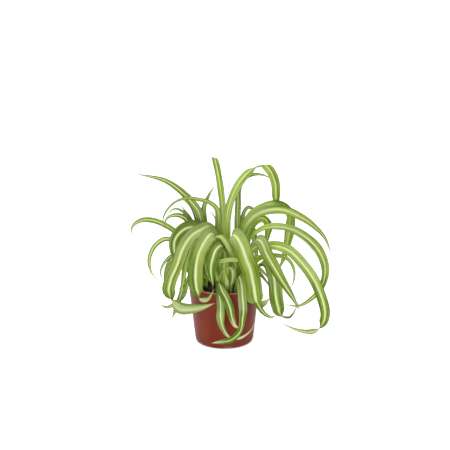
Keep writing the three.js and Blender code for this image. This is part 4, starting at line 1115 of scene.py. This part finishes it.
# the foot's colours: real blanching, lightened further as painted light
BLANCHED_AND_PAINTED_LIGHT_GREEN, BLANCHED_AND_PAINTED_LIGHT_PALE = linear(148, 182, 4), linear(230, 244, 120)
STRAW_DARK, STRAW_LIGHT = linear(208, 196, 156), linear(232, 226, 200)
TAN, DRY_TIP, DARK_RIM = linear(194, 168, 140), linear(188, 158, 112), linear(84, 112, 20)


# %% Leaf material
def stretched(add, length, across, stretch, spread, seed, detail):
    """A noise read in the leaf's own millimetres, pressed together along the leaf by stretch
    and across it by spread, so that its patches are as long and as wide as wanted."""
    run, aside = maths(add, "MULTIPLY", length, stretch), maths(add, "MULTIPLY", across, spread)
    return noise(add, add("CombineXYZ", [run, aside, seed]).outputs[0], scale=1.0, detail=detail)


def blade_colour(add, along, across, length, width, tone):
    """The colour of a fresh blade: margins, inner bands, fine lines and the cream stripe."""
    seed = maths(add, "MULTIPLY", tone, 90.0)
    other_seed = maths(add, "ADD", seed, 40.0)
    aside = maths(add, "MULTIPLY", across, maths(add, "MULTIPLY", width, 0.5))
    wander = stretched(add, length, across, stretch=0.02, spread=0.4, seed=seed, detail=2)
    veins = stretched(add, length, aside, stretch=0.014, spread=0.6, seed=seed, detail=4)
    bands = stretched(add, length, aside, stretch=0.008, spread=0.24, seed=other_seed, detail=1)
    clouds = stretched(add, length, aside, stretch=0.05, spread=0.14, seed=seed, detail=3)

    # distance from the midrib, with its edges wandering
    shift = maths(add, "MULTIPLY", maths(add, "SUBTRACT", wander, 0.5), 0.24)
    edge = maths(add, "ABSOLUTE", maths(add, "ADD", across, shift))

    # old leaves are plainer, so their pale marks are fainter
    lively = maths(add, "ADD", 0.4, maths(add, "MULTIPLY", tone, 0.6))
    cloudy = maths(add, "MULTIPLY", ease(add, clouds, 0.48, 0.68, 0.0, 0.55), lively)
    banded = maths(add, "MULTIPLY", ease(add, bands, 0.50, 0.60, 0.0, 0.85), lively)
    veined = maths(add, "MULTIPLY", ease(add, veins, 0.50, 0.60, 0.0, 0.75), lively)

    margin = mixed(add, tone, MARGIN_OLD, MARGIN_YOUNG)
    inner = mixed(add, tone, INNER_OLD, INNER_YOUNG)
    green = mixed(add, ease(add, edge, 0.35, 0.85), inner, margin)
    green = mixed(add, cloudy, green, CLOUD_PALE)
    green = mixed(add, ease(add, clouds, 0.30, 0.46, 0.5, 0.0), green, CLOUD_DARK)
    green = mixed(add, banded, green, BAND_PALE)
    green = mixed(add, ease(add, bands, 0.36, 0.46, 0.7, 0.0), green, BAND_DARK)
    green = mixed(add, veined, green, VEIN_PALE)
    green = mixed(add, ease(add, veins, 0.38, 0.48, 0.65, 0.0), green, VEIN_DARK)

    # painted sheen: greyer where the blade lies over its arch; a deeper green where it hangs
    arch = ease(add, along, 0.18, 0.36, 0.0, 0.5)
    arch = maths(add, "MULTIPLY", arch, ease(add, along, 0.45, 0.62, 1.0, 0.0))
    green = mixed(add, arch, green, PAINTED_SHEEN_OVER_THE_ARCH)
    green = mixed(add, ease(add, along, 0.5, 0.82, 0.0, 0.45), green, WHERE_IT_HANGS)

    # cream stripe with soft shoulders, a little different in width on each leaf
    broad = maths(add, "ADD", 0.10, maths(add, "MULTIPLY", tone, 0.07))
    inside = maths(add, "SUBTRACT", broad, edge)
    frayed = ease(add, veins, 0.3, 0.6, 0.35, 0.9)
    shoulder = maths(add, "MULTIPLY", ease(add, inside, -0.22, 0.0), frayed)
    green = mixed(add, shoulder, green, SHOULDER)
    strength = maths(add, "SUBTRACT", 1.0, maths(add, "MULTIPLY", tone, 0.45))
    streaky = ease(add, veins, 0.25, 0.45, 0.6, 1.0)
    core = maths(add, "MULTIPLY", ease(add, inside, -0.08, 0.08), streaky)
    core = maths(add, "MULTIPLY", core, strength)
    return mixed(add, core, green, CREAM), veins, clouds


def make_blade_material():
    """The fresh colour, then shade, age and wear, then a waxy skin that lets light through."""
    blade, add = start_material("leaf_blade")
    along, across, upper = add("SeparateXYZ", [stored(add, "blade", "Vector")]).outputs
    tone, length, width = (stored(add, name) for name in ("tone", "length", "width"))
    # pale is painted light: how much paler the leaf is painted
    pale, dry = stored(add, "pale"), stored(add, "dry")
    colour, veins, clouds = blade_colour(add, along, across, length, width, tone)

    # the lower face is paler; the foot is blanched and painted lighter, partly painted light, and
    # some whole leaves are painted paler, painted light as well
    from_midrib = maths(add, "ABSOLUTE", across)
    under = mixed(add, ease(add, veins, 0.38, 0.6), UNDER_GREEN, UNDER_PALE)
    under = mixed(add, ease(add, from_midrib, 0.35, 0.85, 0.0, 0.75), under, UNDER_HEM)
    below = ease(add, upper, 0.0, 1.0, 0.8, 0.0)
    below = maths(add, "MULTIPLY", below, ease(add, along, 0.2, 0.6, 0.25, 1.0))
    colour = mixed(add, below, colour, under)
    # painted light, partly real blanching: the foot and the leaves painted paler are lightened
    blanched_and_painted_light = mixed(add, ease(add, veins, 0.36, 0.62), BLANCHED_AND_PAINTED_LIGHT_GREEN, BLANCHED_AND_PAINTED_LIGHT_PALE)
    foot = ease(add, along, 0.10, 0.48, 0.85, 0.0)
    colour = mixed(add, maths(add, "ADD", foot, pale), colour, blanched_and_painted_light)

    # straw and tan where the end is dry, tan at every tip, and darker margins
    past = maths(add, "SUBTRACT", along, dry)
    straw = mixed(add, ease(add, veins, 0.35, 0.6), STRAW_DARK, STRAW_LIGHT)
    colour = mixed(add, ease(add, past, 0.0, 0.12, 0.0, 0.85), colour, straw)
    colour = mixed(add, ease(add, past, 0.14, 0.36, 0.0, 0.75), colour, TAN)
    can_dry = ease(add, dry, 1.0, 1.5, 1.0, 0.0)
    tip = maths(add, "MULTIPLY", ease(add, along, 0.98, 0.996), can_dry)
    colour = mixed(add, tip, colour, DRY_TIP)
    colour = mixed(add, ease(add, from_midrib, 0.84, 1.0, 0.0, 0.45), colour, DARK_RIM)

    relief = maths(add, "ADD", veins, maths(add, "MULTIPLY", clouds, 0.5))
    bump = add("Bump", {"Height": relief, "Strength": 0.35, "Distance": 0.25 * MM}).outputs[0]
    skin = coated(add, colour, ease(add, clouds, 0.3, 0.7, 0.34, 0.5), gloss=0.24, normal=bump)
    glow = add("HueSaturation", {"Saturation": 1.3, "Value": 1.15, "Color": colour}).outputs[0]
    through = add("BsdfTranslucent", {"Color": glow, "Normal": bump}).outputs[0]
    both = add("MixShader", [0.42, skin, through]).outputs[0]
    add("OutputMaterial", [both])
    return blade


# %% Age and shade, leaf by leaf
# the share of its length from which a leaf is dry; past 1.5 it is green to its very tip
DRY_FROM = {
    "front_hook_left": 0.60, "front_small_arch": 0.84, "front_hook_right": 0.86,
    "front_right_broad": 0.92, "right_short": 0.84, "right_blade": 0.86, "left_loop_large": 0.82,
    "front_right_inner": 2.0,
}

# painted light: how much paler a leaf is painted all over; below 0 its foot is less blanched
PAINTED_LIGHT = {
    "right_band": 0.45, "right_hanging": 0.4, "front_left_narrow": 0.3, "inner_small": 0.3,
    "tall_arch": 0.16, "upright_front": 0.16, "left_arch": 0.15, "left_upright": 0.1,
    "right_short": 0.3, "front_right_inner": 0.35, "inner_cross": 0.4, "right_thin_curl": 0.5,
    "front_small_arch": -0.9, "front_hook_left": -0.9, "front_hook_right": -0.5,
}

# how light a leaf's green is, from 0 for the old dark ones to 1 for the young ones; a leaf
# that isn't named here gets its tone at random
TONE = {
    "front_hook_left": 0.0, "front_hook_right": 0.15, "front_small_arch": 0.1, "front_centre": 0.0,
    "left_dark_arch": 0.0, "front_left_broad": 0.35, "front_left_inner": 0.1, "left_sweep": 0.55,
    "front_right_broad": 0.7, "front_right_inner": 0.9, "right_blade": 0.15, "right_diagonal": 0.4,
    "tall_arch": 0.8, "upright_front": 0.8, "right_high_arch": 1.0, "right_wide_arch": 0.9,
    "right_short": 0.8, "right_thin_curl": 1.0, "left_arch": 0.9, "left_upright": 0.8,
    "left_far_arch": 0.8, "left_back_arch": 0.7, "right_low_sweep": 0.6, "left_loop_large": 0.6,
    "inner_cross": 1.0, "inner_small": 0.8,
}

blade_material = make_blade_material()
for seed, row in enumerate(LEAVES):
    leaf = make_leaf(row, seed)
    points = len(leaf.data.vertices)
    note(leaf, "dry", np.full(points, DRY_FROM.get(row[0], 1.0)))
    # painted light: how much paler each leaf is painted
    note(leaf, "pale", np.full(points, PAINTED_LIGHT.get(row[0], 0.0)))
    dress(leaf, f"leaf_{row[0]}", blade_material)
print("leaf faces:", len(LEAVES) * len(leaf.data.polygons))

# %% [markdown]
# ## Sizes
#
# The fine surfaces must fill the same box as the solids. Both boxes are kept and printed.

# %% Finish
visual_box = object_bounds()
boxes = {"cad": [list(corner) for corner in cad_box], "visual": [list(corner) for corner in visual_box]}
for name, box in boxes.items():
    print(name, [[round(v / MM, 1) for v in corner] for corner in box])
